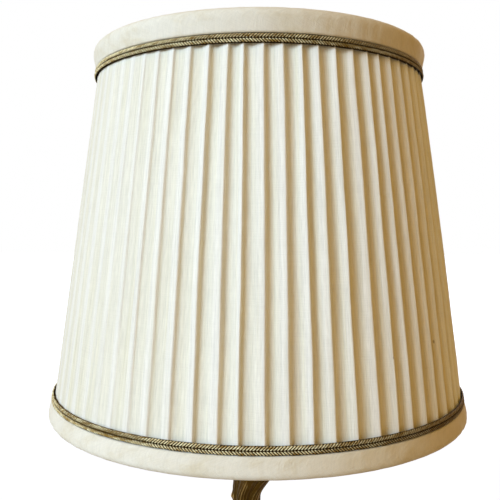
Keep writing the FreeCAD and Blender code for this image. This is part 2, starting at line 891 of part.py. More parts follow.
def candle_tube():
    """The ivory sleeve round the lampholder."""
    return tube("candle_tube", "(candle_across - 2 * candle_wall)", "candle_across",
                nozzle_floor_top, candle_top)


def nozzle():
    """The turned cup that the candle stands in."""
    socket = "(candle_across / 2 + slip_gap)"
    outer = f"({socket} + nozzle_wall)"
    top = f"({pan_floor} + nozzle_high)"
    # Where the rounding under the cup passes: back from its side, and up from its bottom
    round_back_share, round_up_share = 0.6, 0.4
    return turned("nozzle", [
        ("stud_across / 2 + slip_gap", pan_floor),
        (f"{socket} - nozzle_wall", pan_floor),
        (outer, f"{pan_floor} + nozzle_floor",
         f"{outer} - nozzle_wall * {round_back_share}", f"{pan_floor} + nozzle_floor * {round_up_share}"),
        (outer, f"{top} - 2 * nozzle_lip"),
        (f"{outer} + nozzle_lip", f"{top} - nozzle_lip"),
        (f"{outer} + nozzle_lip", top),
        (socket, top),
        (socket, nozzle_floor_top),
        ("stud_across / 2 + slip_gap", nozzle_floor_top),
    ])


def drip_pan():
    """A shallow pan with a scalloped rim."""
    count = int(worth("pan_scallops"))
    wall = worth("pan_wall")
    bottom = worth(calyx_top)
    foot = worth("pan_foot_across / 2")
    rim = worth("pan_across / 2 - pan_scallop_deep")
    high = worth("pan_high")
    lobe = worth("pan_scallop_deep")
    # Each ring of the pan: its way out from foot to rim, its rise and its scallop
    pan_shares = ((0.0, 0.0, 0.0), (0.6, 0.22, 0.2), (1.0, 1.0, 1.0))
    outside = []
    inside = []
    for out, rise, swell in pan_shares:
        radius = foot + (rim - foot) * out
        level = bottom + (high - wall) * rise
        outside.append(lobed_ring(radius, lobe * swell, count, 0, level))
        inside.append(lobed_ring(radius - wall, lobe * swell, count, 0, level + wall))
    outside.append(lobed_ring(rim, lobe, count, 0, bottom + high))
    pan = Part.makeLoft(outside, True, True)
    dish = Part.makeLoft(inside, True, True)
    hole = cylinder(worth("stud_across + 2 * slip_gap"), bottom - wall, bottom + high)
    return formed("drip_pan", pan.cut(dish).cut(hole))


def calyx():
    """The leafy cup under the drip pan."""
    count = int(worth("calyx_leaves"))
    lobe = worth("calyx_leaf_deep")
    bottom = worth(stem_top)
    high = worth("calyx_high")
    narrow = worth("stem_half - stem_lobe_deep")
    wide = worth("calyx_top_across / 2 - calyx_leaf_deep")
    # Each ring of the cup: its way out from neck to rim, its rise and its leaf
    calyx_shares = ((0.0, 0.0, 0.3), (0.18, 0.3, 0.6), (0.75, 0.7, 1.0), (1.0, 0.88, 1.0), (0.8, 1.0, 0.6))
    rings = [
        lobed_ring(narrow + (wide - narrow) * out, lobe * swell, count, 0, bottom + high * rise)
        for out, rise, swell in calyx_shares
    ]
    hole = cylinder(worth("stud_across + 2 * slip_gap"), bottom - high, bottom + 2 * high)
    return formed("calyx", Part.makeLoft(rings, True, True).cut(hole))


def hex_nut(label, bottom, bore):
    """A hexagon nut on the lamp's axis."""
    body = new_body(label)
    sketch = new_sketch(body, "flats", "XY_Plane", bottom)
    draw_outline(sketch, [
        (f"nut_flats / 2 / cos(30) * cos({60 * corner})", f"nut_flats / 2 / cos(30) * sin({60 * corner})")
        for corner in range(6)
    ])
    pad = body.newObject("PartDesign::Pad", f"{label}_height")
    pad.Profile = sketch
    pad.setExpression("Length", bound("nut_high"))
    pierce(body, "bore", "XY_Plane", [("0", "0")], bore, bottom)
    return body


# Stem

# Rings up the stem: height, half width and sway as shares, and how far the swirl has turned
stem_shares = (
    (0.0, 0.66, 0.0, 0.0),
    (0.08, 0.6, 0.0, 0.05),
    (0.2, 0.86, 0.3, 0.15),
    (0.36, 1.0, 0.5, 0.3),
    (0.54, 0.8, -0.2, 0.5),
    (0.7, 0.54, -0.85, 0.65),
    (0.84, 0.5, -1.0, 0.8),
    (0.882, 0.545, -0.98, 0.85),
    (0.91, 0.59, -0.7, 0.88),
    (0.955, 0.76, -0.2, 0.94),
    (1.0, 0.95, 0.0, 1.0),
)


def stem():
    """The cast stem: swirled lobes on a middle line that sways to one side at the neck."""
    count = int(worth("stem_lobes"))
    bottom, high = worth(knop_top), worth("stem_high")
    lobe = worth("stem_lobe_deep")
    rings = []
    bores = []
    for rise, half, sway, turn in stem_shares:
        level = bottom + high * rise
        middle = worth("stem_sway") * sway
        radius = worth("stem_half") * half - lobe
        rings.append(lobed_ring(radius, lobe, count, worth("stem_twist") * turn, level, middle))
        bores.append(circle_wire(worth("wire_bore / 2"), level, middle))
    solid = Part.makeLoft(rings, True, True)
    bore = Part.makeLoft(bores, True, True)
    socket = worth("stud_across + 2 * press_gap")
    deep = worth("stud_in_stem")
    solid = solid.cut(bore)
    solid = solid.cut(cylinder(socket, bottom - deep, bottom + deep))
    solid = solid.cut(cylinder(socket, bottom + high - deep, bottom + high + deep))
    return formed("stem", solid)


def upper_stud():
    """The hollow threaded stud from the stem up to the lampholder."""
    return tube("upper_stud", "stud_bore", "stud_across",
                f"{stem_top} - stud_in_stem", f"{holder_cap_bottom} + holder_cap_floor")


def lower_stud():
    """The hollow threaded stud that draws the foot, knop and stem together."""
    return tube("lower_stud", "stud_bore", "stud_across",
                f"{foot_roof} - foot_stud_below", f"{knop_top} + stud_in_stem")


# Foot

def knop():
    """The turned ring between foot and stem."""
    neck = "(knop_neck_across / 2)"
    waist = "(knop_waist_across / 2)"
    bore = "(stud_across / 2 + slip_gap)"
    # Heights of the fillet under the bead, the bead's ends and middle, and the waist above it
    fillet_share, bead_top_share, waist_share = 0.15, 0.8, 0.85
    bead_share = (fillet_share + bead_top_share) / 2
    return turned("knop", [
        (bore, foot_top),
        (neck, foot_top),
        (neck, f"{foot_top} + knop_high * {fillet_share}"),
        (neck, f"{foot_top} + knop_high * {bead_top_share}",
         "knop_across / 2", f"{foot_top} + knop_high * {bead_share}"),
        (waist, f"{foot_top} + knop_high * {waist_share}"),
        (waist, knop_top),
        (bore, knop_top),
    ])


def foot_cavity():
    """The hollow under the foot, with the recess for the base plate and round the posts."""
    recess = worth(foot_recess)
    bottom = worth(foot_bottom)
    ledge = worth(plate_top)
    roof = worth(foot_roof)
    inner = recess - worth("foot_ledge")
    over = worth("overrun")
    # Corners of the hollow above the ledge: share of its radius, and share of its height
    hollow_shares = ((1.0, 0.1), (0.86, 0.26), (0.62, 0.46), (0.4, 0.68), (0.28, 1.0))
    corners = [Vector(0, 0, bottom - over), Vector(recess, 0, bottom - over), Vector(recess, 0, ledge),
               Vector(inner, 0, ledge)]
    corners += [Vector(inner * out, 0, ledge + (roof - ledge) * up) for out, up in hollow_shares]
    corners += [Vector(0, 0, roof), corners[0]]
    hollow = Part.Face(Part.makePolygon(corners)).revolve(Vector(), Vector(0, 0, 1), 360)
    for number in range(int(worth("post_count"))):
        angle = 360 / worth("post_count") * number
        hollow = hollow.cut(cylinder(worth("post_across"), ledge, roof, worth(post_out), angle))
    return hollow


def foot():
    """The cast foot: a domed base with swirled lobes, hollow underneath."""
    count = int(worth("foot_lobes"))
    lobe = worth("foot_lobe_deep")
    wide = worth("foot_across / 2 - foot_lobe_deep")
    narrow = worth("knop_neck_across / 2")
    bottom, high = worth(foot_bottom), worth("foot_high")
    # Rings up the foot: radius from the knop's to the rim's, height and lobe as shares, and
    # how far the swirl has turned
    foot_shares = (
        (1.0, 0.0, 1.0, 0.0),
        (1.0, 0.19, 1.0, 0.0),
        (0.925, 0.25, 0.9, 0.05),
        (0.82, 0.42, 1.0, 0.2),
        (0.57, 0.62, 0.9, 0.5),
        (0.265, 0.76, 0.6, 0.75),
        (0.065, 0.88, 0.3, 0.9),
        (0.0, 1.0, 0.1, 1.0),
    )
    start = 180 / count + worth("foot_start_angle")
    rings = [
        lobed_ring(narrow + (wide - narrow) * out, lobe * swell, count,
                   start + worth("foot_twist") * turn, bottom + high * up)
        for out, up, swell, turn in foot_shares
    ]
    solid = Part.makeLoft(rings, True, True).cut(foot_cavity())
    solid = solid.cut(cylinder(worth("stud_across + 2 * slip_gap"), bottom, bottom + 2 * high))
    ledge = worth(plate_top)
    for number in range(int(worth("post_count"))):
        angle = 360 / worth("post_count") * number
        deep = worth("screw_long - plate_thick + overrun")
        hole = cylinder(worth("screw_across + 2 * press_gap"), ledge, ledge + deep, worth(post_out), angle)
        solid = solid.cut(hole)
    level = bottom + worth("bush_up")
    seat = worth("foot_across / 2 - bush_flange_thick")
    bush_hole = Part.makeCylinder(
        worth("bush_across / 2 + slip_gap"), worth("foot_across / 4"),
        Vector(0, worth("foot_across / 3"), level), Vector(0, 1, 0))
    spot_face = Part.makeCylinder(
        worth("bush_flange_across / 2 + slip_gap"), worth("foot_across / 4"), Vector(0, seat, level), Vector(0, 1, 0))
    return formed("foot", solid.cut(bush_hole).cut(spot_face))


def cord_bush():
    """The flanged bush at the back of the foot, where a cord goes in."""
    level = worth(f"{foot_bottom} + bush_up")
    seat = worth("foot_across / 2 - bush_flange_thick")
    inner = worth(f"{foot_recess} - foot_ledge")
    back = Vector(0, 1, 0)
    barrel = Part.makeCylinder(worth("bush_across / 2"), seat - inner, Vector(0, inner, level), back)
    flange = Part.makeCylinder(
        worth("bush_flange_across / 2"), worth("bush_flange_thick"), Vector(0, seat, level), back)
    bore = Part.makeCylinder(
        worth("bush_bore / 2"), worth("foot_across / 4"), Vector(0, inner - worth("overrun"), level), back)
    return formed("cord_bush", barrel.fuse(flange).cut(bore))


def base_plate():
    """The steel plate that closes the foot, held by screws into the foot's posts."""
    plate = tube("base_plate", "weight_bore", f"2 * ({foot_recess} - soft_gap)", foot_bottom, plate_top)
    doc.recompute()
    holes = pierce(plate, "screw_holes", "XY_Plane", [(post_out, "0")], "(screw_across + 2 * slip_gap)",
                   foot_bottom)
    repeat(plate, holes, "post_count")
    return plate


def plate_screws():
    """The screws that hold the base plate."""
    bottom = worth(foot_bottom)
    ledge = worth(plate_top)
    screws = []
    for number in range(int(worth("post_count"))):
        angle = 360 / worth("post_count") * number
        screws.append(cylinder(
            worth("screw_across"), bottom, ledge + worth("screw_long - plate_thick"), worth(post_out), angle))
    return formed("plate_screws", Part.makeCompound(screws))


def foot_weight():
    """The iron ring on the base plate that steadies the lamp."""
    return tube("foot_weight", "weight_bore", f"2 * {weight_out}", plate_top, f"{plate_top} + weight_high")


def felt_pad():
    """The felt disc that the lamp stands on."""
    pad = doc.addObject("Part::Cylinder", "felt_pad")
    pad.Label = "felt_pad"
    bind(pad, Radius="foot_across / 2 - felt_inset", Height="felt_thick")
    return pad


def build():
    """Make every piece and return the list."""
    pieces = [
        felt_pad(), base_plate(), plate_screws(), foot_weight(), foot(), cord_bush(), knop(), stem(),
        upper_stud(), lower_stud(),
        tube("foot_washer", "(stud_across + 2 * slip_gap)", "washer_across",
             f"{foot_roof} - washer_thick", foot_roof),
        hex_nut("foot_nut", f"{foot_roof} - washer_thick - nut_high", "(stud_across + 2 * press_gap)"),
        calyx(), drip_pan(), nozzle(),
        hex_nut("nozzle_nut", nozzle_floor_top, "(stud_across + 2 * press_gap)"),
        candle_tube(), holder_cap(), holder_body(), holder_core(), screw_shell(), centre_tongue(),
        terminal_screws(), retaining_ring(),
        bulb_glass(), bulb_cap(), bulb_insulator(), end_contact(), bulb_stem(), lead_wires(), filament(),
        carrier_ring(), carrier_wire("carrier_wire_left", -1), carrier_wire("carrier_wire_right", 1),
        carrier_collar(), gimbal_ring(), gimbal_pins(),
        pleated_cover(), lining(),
        binding("bottom_binding", "shade_bottom_across", "0", "+", "bottom_binding_high"),
        let_in("top_binding", binding(
            "top_binding_strip", "shade_top_across", "shade_high", "-", "top_binding_high")),
        braid("bottom_braid", "bottom_binding_high", "(bottom_binding_high + bottom_braid_high)"),
        braid("top_braid", "(shade_high - top_binding_high - top_braid_high)", "(shade_high - top_binding_high)"),
    ]
    rings = [frame_ring("bottom_ring", ring_up), frame_ring("top_ring", ring_down)]
    hoop = gimbal_hoop()
    doc.recompute()
    return pieces + rings + [hoop] + ribs(rings) + spider_arms(rings[1], hoop)


def check(pieces):
    """Stop if an object of the document failed or a piece is not a sound solid."""
    for item in doc.Objects:
        if "Invalid" in item.State or "Error" in item.State:
            raise RuntimeError(f"{item.Name} failed: {item.State}")
    for piece in pieces:
        shape = piece.Shape
        if shape.isNull() or not shape.isValid() or not shape.Solids:
            raise RuntimeError(f"{piece.Label} is not a sound solid")


def write(pieces):
    """Write each piece to its own file."""
    os.makedirs("parts", exist_ok=True)
    for piece in pieces:
        piece.Shape.exportStep(f"parts/{piece.Label}.step")
        print(piece.Label, len(piece.Shape.Solids), round(piece.Shape.Volume))


all_pieces = build()
doc.recompute()
check(all_pieces)
write(all_pieces)
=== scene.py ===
"""Looks of the candle lamp: a pleated silk shade on a swirled bronze candlestick.

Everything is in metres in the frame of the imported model: +Z up along the candle, the front of
the lamp towards -Y, the origin under the middle of the foot.
"""

from __future__ import annotations

import json
import logging
import math
import random
from dataclasses import dataclass
from enum import Enum
from typing import Callable, ClassVar, Iterable, Optional, Sequence, Union

import bmesh
import bpy
from mathutils import Euler, Matrix, Vector, noise
from mathutils.bvhtree import BVHTree

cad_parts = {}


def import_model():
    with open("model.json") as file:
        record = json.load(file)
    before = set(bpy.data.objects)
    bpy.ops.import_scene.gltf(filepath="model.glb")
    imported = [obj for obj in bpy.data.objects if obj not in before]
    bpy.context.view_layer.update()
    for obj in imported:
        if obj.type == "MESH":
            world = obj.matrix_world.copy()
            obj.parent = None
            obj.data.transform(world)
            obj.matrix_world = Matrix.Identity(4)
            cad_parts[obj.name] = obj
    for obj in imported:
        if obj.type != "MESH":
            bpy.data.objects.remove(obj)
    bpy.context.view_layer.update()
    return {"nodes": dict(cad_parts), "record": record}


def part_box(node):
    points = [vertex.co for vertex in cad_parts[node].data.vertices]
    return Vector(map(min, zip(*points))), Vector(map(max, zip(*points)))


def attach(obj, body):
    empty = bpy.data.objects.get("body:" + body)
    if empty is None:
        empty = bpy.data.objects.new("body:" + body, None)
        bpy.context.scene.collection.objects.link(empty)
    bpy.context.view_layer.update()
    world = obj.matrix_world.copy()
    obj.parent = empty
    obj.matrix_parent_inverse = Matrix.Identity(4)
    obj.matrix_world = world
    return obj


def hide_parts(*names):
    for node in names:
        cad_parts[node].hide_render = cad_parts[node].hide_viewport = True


log = logging.getLogger("candle_lamp")

MM = 0.001
TAU = math.tau
ATTRIBUTE = "height"
CLOTH = "cloth"
# Across the lamp from left to right: where the painted shade on its right side begins, and where it is full.
SIDE_SHADE_FROM = -10 * MM
SIDE_SHADE_TO = 90 * MM
VEIN_SLANT = 1.5
VEIN_ROUND = 1.3
VEIN_RISE = 0.8
MIDRIB_SHARE = 0.1

Colour = tuple[float, float, float]
Place = tuple[float, float, float]
Scale = tuple[float, float, float]
Socket = bpy.types.NodeSocket


def srgb(red: int, green: int, blue: int) -> Colour:
    """A colour given as 0 to 255 on a screen, as linear light."""
    shares = (channel / 255 for channel in (red, green, blue))
    return tuple(share / 12.92 if share <= 0.04045 else ((share + 0.055) / 1.055) ** 2.4 for share in shares)


def blend(first: float, second: float, share: float) -> float:
    """A number that is share of the way from the first to the second."""
    return first + (second - first) * share


def ease(share: float) -> float:
    """A share held to 0 to 1, with soft ends."""
    held = min(1.0, max(0.0, share))
    return held * held * (3 - 2 * held)


def wander(*place: float) -> float:
    """Smooth noise between about -1 and 1, finer where its coordinates are multiplied by more."""
    return noise.noise(Vector((*place, 0.0, 0.0)[:3]))


def polar(radius: float, angle: float, height: float) -> Vector:
    """A point at a radius and an angle round the lamp's axis."""
    return Vector((radius * math.cos(angle), radius * math.sin(angle), height))


# Shader tools


class Value:
    """A number that runs through a material's nodes."""

    def __init__(self, shader: Shader, socket: Socket) -> None:
        """Keep the socket that gives the number, and the shader that it is in."""
        self.shader = shader
        self.socket = socket

    def __add__(self, other: Number) -> Value:
        """Sum."""
        return self.shader.maths("ADD", self, other)

    def __sub__(self, other: Number) -> Value:
        """Difference."""
        return self.shader.maths("SUBTRACT", self, other)

    def __rsub__(self, other: Number) -> Value:
        """Difference from a plain number."""
        return self.shader.maths("SUBTRACT", other, self)

    def __mul__(self, other: Number) -> Value:
        """Product."""
        return self.shader.maths("MULTIPLY", self, other)

    def __gt__(self, other: Number) -> Value:
        """One where the number is larger, otherwise zero."""
        return self.shader.maths("GREATER_THAN", self, other)

    __radd__ = __add__
    __rmul__ = __mul__

    def eased(self, low: float, high: float) -> Value:
        """How far the number is on its way between two others.

        Args:
            low: the number that gives 0.
            high: the number that gives 1.

        Returns:
            The share, 0 to 1 with soft ends.
        """
        node = self.shader.node(
            "ShaderNodeMapRange",
            {"interpolation_type": "SMOOTHSTEP"},
            {"Value": self, "From Min": low, "From Max": high},
        )
        return self.shader.number(node, "Result")


Number = Union[Value, float, int]
Paint = Union[Socket, Colour]


class Shader:
    """The nodes of one material, or of the world."""

    def __init__(self, holder: Union[bpy.types.Material, bpy.types.World]) -> None:
        """Start with no nodes.

        Args:
            holder: the material or world that the nodes are for.
        """
        holder.use_nodes = True
        self.tree = holder.node_tree
        self.tree.nodes.clear()

    def node(self, kind: str, settings: Optional[dict] = None,
             inputs: Optional[dict] = None) -> bpy.types.Node:
        """Add a node.

        Args:
            kind: the node's type.
            settings: the node's own properties.
            inputs: what each input, by name or number, is joined or set to.

        Returns:
            The node.
        """
        made = self.tree.nodes.new(kind)
        for name, value in (settings or {}).items():
            setattr(made, name, value)
        for name, value in (inputs or {}).items():
            source = value.socket if isinstance(value, Value) else value
            if isinstance(source, Socket):
                self.tree.links.new(source, made.inputs[name])
            elif isinstance(source, tuple) and made.inputs[name].type == "RGBA":
                made.inputs[name].default_value = (*source, 1.0)
            else:
                made.inputs[name].default_value = source
        return made

    def number(self, node: bpy.types.Node, output: Union[str, int] = 0) -> Value:
        """A node's output as a number."""
        return Value(self, node.outputs[output])

    def maths(self, operation: str, *numbers: Number) -> Value:
        """One step of arithmetic."""
        return self.number(self.node("ShaderNodeMath", {"operation": operation}, dict(enumerate(numbers))))

    def mix(self, factor: Number, first: Paint, second: Paint, way: str = "MIX") -> Socket:
        """Mix two colours.

        Args:
            factor: how much of the second colour shows.
            first: the colour at 0.
            second: the colour at 1.
            way: how the colours are laid on each other.

        Returns:
            The mixed colour's socket.
        """
        settings = {"data_type": "RGBA", "blend_type": way, "clamp_result": True}
        return self.node("ShaderNodeMix", settings, {0: factor, 6: first, 7: second}).outputs[2]

    def tinted(self, colour: Paint, strength: Number) -> Socket:
        """A colour made lighter or darker.

        Args:
            colour: the colour.
            strength: the number round 1 that it is multiplied by.

        Returns:
            The new colour's socket.
        """
        node = self.node("ShaderNodeVectorMath", {"operation": "SCALE"}, {"Scale": strength})
        if isinstance(colour, tuple):
            node.inputs[0].default_value = colour
        else:
            self.tree.links.new(colour, node.inputs[0])
        return node.outputs[0]

    def body_place(self) -> Socket:
        """The piece's own coordinates, in metres."""
        return self.node("ShaderNodeTexCoord").outputs["Object"]

    def cloth_place(self) -> Socket:
        """Metres along and up the cloth."""
        return self.node("ShaderNodeUVMap", {"uv_map": CLOTH}).outputs["UV"]

    def right_side_shade(self) -> Value:
        """How far round to the lamp's right a point lies, 0 to 1, where painted shade darkens the cloth and
        the braid.
        """
        across = self.node("ShaderNodeSeparateXYZ", None, {0: self.body_place()})
        return self.number(across, "X").eased(SIDE_SHADE_FROM, SIDE_SHADE_TO)

    def background_rays(self) -> Value:
        """Tell the rays that show the background: seen straight, in metal or through glass.

        Returns:
            One for such a ray, otherwise zero.
        """
        rays = self.node("ShaderNodeLightPath")
        kinds = ("Is Camera Ray", "Is Glossy Ray", "Is Transmission Ray")
        seen, glossy, through = (self.number(rays, kind) for kind in kinds)
        return (seen + glossy + through) > 0.5

    def height(self) -> Value:
        """How high a point of the piece is raised, 0 to 1."""
        return self.number(self.node("ShaderNodeAttribute", {"attribute_name": ATTRIBUTE}), "Fac")

    def stretched(self, place: Socket, scale: Scale) -> Socket:
        """Coordinates multiplied by a scale of their own each way."""
        node = self.node("ShaderNodeVectorMath", {"operation": "MULTIPLY"}, {0: place, 1: scale})
        return node.outputs[0]

    def cloud(self, place: Socket, scale: Scale, detail: float = 3.0, rough: float = 0.5) -> Value:
        """Noise from 0 to 1.

        Args:
            place: the coordinates.
            scale: patches per metre each way.
            detail: how many finer layers it has.
            rough: how strong the finer layers are.

        Returns:
            The noise.
        """
        inputs = {"Vector": self.stretched(place, scale), "Scale": 1.0, "Detail": detail, "Roughness": rough}
        return self.number(self.node("ShaderNodeTexNoise", {"noise_dimensions": "3D"}, inputs), "Fac")

    def cells(self, place: Socket, scale: Scale) -> tuple[Value, Value]:
        """Scattered spots.

        Args:
            place: the coordinates.
            scale: spots per metre each way.

        Returns:
            How far a point is from the nearest spot, and that spot's own random number.
        """
        inputs = {"Vector": self.stretched(place, scale), "Scale": 1.0}
        node = self.node("ShaderNodeTexVoronoi", {"feature": "F1"}, inputs)
        apart = self.node("ShaderNodeSeparateColor", None, {0: node.outputs["Color"]})
        return self.number(node, "Distance"), self.number(apart, 0)

    def bump(self, relief: Value, depth: float) -> Socket:
        """A surface normal from a relief that is depth metres deep."""
        node = self.node("ShaderNodeBump", None, {"Strength": 1.0, "Distance": depth, "Height": relief})
        return node.outputs["Normal"]

    def surface(self, **inputs: Union[Number, Paint]) -> None:
        """Close the material with its surface.

        Args:
            inputs: what each input of the surface is joined or set to. Underscores stand for the spaces
                in their names.
        """
        named = {name.replace("_", " "): value for name, value in inputs.items()}
        principled = self.node("ShaderNodeBsdfPrincipled", None, named)
        self.node("ShaderNodeOutputMaterial", None, {"Surface": principled.outputs[0]})


# Finishes


@dataclass(frozen=True)
class Finish:
    """A finish of the lamp. Each kind says how its nodes are laid."""

    made: ClassVar[dict[Finish, bpy.types.Material]] = {}

    def lay(self, shader: Shader) -> None:
        """Lay the finish's nodes."""
        raise NotImplementedError

    def material(self) -> bpy.types.Material:
        """The finish's material.

        Returns:
            The material, made the first time that it is asked for.
        """
        if self not in Finish.made:
            Finish.made[self] = bpy.data.materials.new(type(self).__name__)
            self.lay(Shader(Finish.made[self]))
        return Finish.made[self]


@dataclass(frozen=True)
class PleatedSilk(Finish):
    """Slub silk: pale on the pleats, with a tan painted shade in the gaps between them, and a few dark
    flecks.

    Painted shade also darkens its gaps most on the lamp's right.
    """

    crest: Colour = srgb(244, 241, 230)
    gap_shade: Colour = srgb(200, 190, 116)
    amber_side_shade: Colour = srgb(208, 178, 98)
    fleck: Colour = srgb(120, 92, 60)

    def lay(self, shader: Shader) -> None:
        """Threads run down the pleats, so the noise is long that way.

        Args:
            shader: the material's nodes.
        """
        cloth = shader.cloth_place()
        slub = shader.cloud(cloth, (1100, 26, 1), 3, 0.6)
        thread = shader.cloud(cloth, (3600, 160, 1), 2, 0.5)
        weft = shader.cloud(cloth, (70, 2600, 1), 2, 0.5)
        aged = shader.cloud(cloth, (26, 14, 1), 3, 0.55)
        streak = shader.cloud(cloth, (190, 7, 1), 3, 0.6)
        ply = shader.cloud(cloth, (560, 6, 1), 2, 0.6)
        # Painted shade: the deeper the cloth lies between the pleats, the darker and tanner it is painted,
        # where shade falls.
        recess_shade = (1 - shader.height()).eased(0.22, 0.86)
        # worn mixes that painted shade with real streaks and ply lines in the silk.
        worn = recess_shade * (0.1 + aged * 0.16) + streak.eased(0.5, 0.8) * 0.12 + ply.eased(0.5, 0.74) * 0.13
        base = shader.mix(worn, self.crest, self.gap_shade)
        # Painted shade: towards the lamp's right, the gaps between the pleats turn darker and yellower, where
        # the light falls away.
        side = shader.right_side_shade()
        base = shader.mix(side * side * recess_shade * 0.55, base, self.amber_side_shade)
        shade = 0.585 + slub * 0.4 + ply * 0.06 + thread * 0.32 + weft * 0.09
        near, chance = shader.cells(cloth, (70, 44, 1))
        spot = (chance > 0.955) * (1 - near.eased(0.015, 0.045))
        colour = shader.mix(spot * 0.55, shader.tinted(base, shade), self.fleck)
        relief = slub * 0.55 + thread * 0.3 + weft * 0.25
        shader.surface(
            Base_Color=colour,
            Roughness=0.62 + slub * 0.2,
            Specular_IOR_Level=0.2,
            Sheen_Weight=0.12,
            Sheen_Roughness=0.5,
            Normal=shader.bump(relief, 0.28 * MM),
        )


@dataclass(frozen=True)
class LiningSilk(Finish):
    """Smooth silk with a fine, even weave."""

    face: Colour = srgb(232, 221, 193)
    aged: Colour = srgb(206, 187, 144)

    def lay(self, shader: Shader) -> None:
        """The weave is the same both ways; age shows in soft patches.

        Args:
            shader: the material's nodes.
        """
        cloth = shader.cloth_place()
        warp = shader.cloud(cloth, (2400, 90, 1), 2, 0.5)
        weft = shader.cloud(cloth, (90, 2400, 1), 2, 0.5)
        patch = shader.cloud(cloth, (22, 16, 1), 4, 0.6)
        colour = shader.mix(patch.eased(0.45, 0.8) * 0.6, self.face, self.aged)
        shader.surface(
            Base_Color=shader.tinted(colour, 0.93 + warp * 0.07 + weft * 0.07),
            Roughness=0.5 + patch * 0.2,
            Sheen_Weight=0.2,
            Normal=shader.bump(warp * 0.5 + weft * 0.5, 0.1 * MM),
        )


@dataclass(frozen=True)
class BindingCloth(Finish):
    """A plain silk strip cut on the cross, with a fine weave, faint handling marks and painted shade on the
    lamp's right.
    """

    face: Colour = srgb(243, 238, 222)
    mark: Colour = srgb(208, 190, 140)
    amber_side_shade: Colour = srgb(198, 166, 84)

    def lay(self, shader: Shader) -> None:
        """The weave lies slantwise because the strip is cut on the cross.

        Args:
            shader: the material's nodes.
        """
        cloth = shader.cloth_place()
        turn = {0: cloth, "Angle": math.pi / 4}
        slant = shader.node("ShaderNodeVectorRotate", {"rotation_type": "Z_AXIS"}, turn).outputs[0]
        warp = shader.cloud(slant, (2600, 240, 1), 2, 0.5)
        weft = shader.cloud(slant, (240, 2600, 1), 2, 0.5)
        slub = shader.cloud(slant, (900, 40, 1), 2, 0.6)
        patch = shader.cloud(cloth, (60, 110, 1), 5, 0.65)
        colour = shader.mix(patch.eased(0.42, 0.76) * 0.42, self.face, self.mark)
        # Painted shade: the strip turns darker and yellower towards the lamp's right, where the light falls
        # away.
        colour = shader.mix(shader.right_side_shade() * 0.6, colour, self.amber_side_shade)
        shader.surface(
            Base_Color=shader.tinted(colour, 0.77 + warp * 0.16 + weft * 0.16 + slub * 0.14),
            Roughness=0.6 + patch * 0.2,
            Specular_IOR_Level=0.2,
            Sheen_Weight=0.12,
            Normal=shader.bump(warp * 0.4 + weft * 0.4 + slub * 0.3 + patch * 1.2, 0.3 * MM),
        )


@dataclass(frozen=True)
class GoldBraid(Finish):
    """Metal thread plaited over two cords, bright on the threads, with painted shade between them and on the
    lamp's right, and tarnished.
    """

    bright: Colour = srgb(255, 243, 196)
    aged: Colour = srgb(156, 120, 48)
    olive_side_shade: Colour = srgb(100, 72, 14)
    groove_shade: Colour = srgb(44, 29, 4)

    def lay(self, shader: Shader) -> None:
        """The metal is tarnished in patches and from thread to thread; painted shade darkens it towards the
        lamp's right and in its grooves.

        Args:
            shader: the material's nodes.
        """
        cloth = shader.cloth_place()
        patch = shader.cloud(cloth, (46, 160, 1), 4, 0.6)
        thread = shader.cloud(cloth, (820, 820, 1), 2, 0.6)
        raised = shader.height()
        worn = shader.mix((patch * 0.5 + thread).eased(0.62, 0.88), self.bright, self.aged)
        # Painted shade: the braid darkens to olive towards the lamp's right, where the light falls away.
        side_shaded = shader.mix(shader.right_side_shade() * 0.85, worn, self.olive_side_shade)
        # Painted shade: the grooves between the threads and the braid's edges are painted near black.
        colour = shader.mix(raised.eased(0.26, 0.6), self.groove_shade, side_shaded)
        shader.surface(
            Base_Color=colour,
            Metallic=raised.eased(0.25, 0.8) * 0.15,
            Roughness=0.75 - raised.eased(0.2, 0.7) * 0.4 + thread * 0.2,
            Specular_IOR_Level=0.08,
            Normal=shader.bump(thread, 0.08 * MM),
        )


@dataclass(frozen=True)
class BronzePatina(Finish):
    """Cast bronze under a dark brown patina, rubbed lighter where it stands proud."""

    patina: Colour = srgb(86, 60, 12)
    deep: Colour = srgb(52, 34, 5)
    rubbed: Colour = srgb(170, 136, 78)
    green: Colour = srgb(72, 76, 48)

    def lay(self, shader: Shader) -> None:
        """Patches of patina at three sizes, with pits and rubbed crests.

        Args:
            shader: the material's nodes.
        """
        place = shader.body_place()
        broad = shader.cloud(place, (46, 46, 30), 5, 0.62)
        fine = shader.cloud(place, (420, 420, 260), 4, 0.6)
        pits = shader.cloud(place, (1500, 1500, 1500), 2, 0.5)
        raised = shader.height()
        base = shader.mix(broad.eased(0.34, 0.68), self.deep, self.patina)
        base = shader.mix((fine * broad).eased(0.3, 0.46) * 0.35, base, self.green)
        rub = (raised + fine * 0.5 - 0.25).eased(0.5, 1.0)
        shader.surface(
            Base_Color=shader.mix(rub * 0.8, base, self.rubbed),
            Metallic=0.6 + rub * 0.3,
            Roughness=0.5 - rub * 0.16 + fine * 0.14,
            Specular_IOR_Level=0.06,
            Normal=shader.bump(fine * 0.5 + pits * 0.3, 0.26 * MM),
        )


@dataclass(frozen=True)
class SatinBrass(Finish):
    """Turned brass, a little dulled."""

    bright: Colour = srgb(206, 172, 104)
    dull: Colour = srgb(150, 116, 60)

    def lay(self, shader: Shader) -> None:
        """Fine turning lines run round the piece, and it is tarnished in patches.

        Args:
            shader: the material's nodes.
        """
        place = shader.body_place()
        patch = shader.cloud(place, (120, 120, 120), 4, 0.6)
        lines = shader.cloud(place, (60, 60, 5200), 2, 0.5)
        shader.surface(
            Base_Color=shader.mix(patch.eased(0.36, 0.74), self.bright, self.dull),
            Metallic=1.0,
            Roughness=0.24 + patch * 0.22,
            Normal=shader.bump(lines, 0.03 * MM),
        )


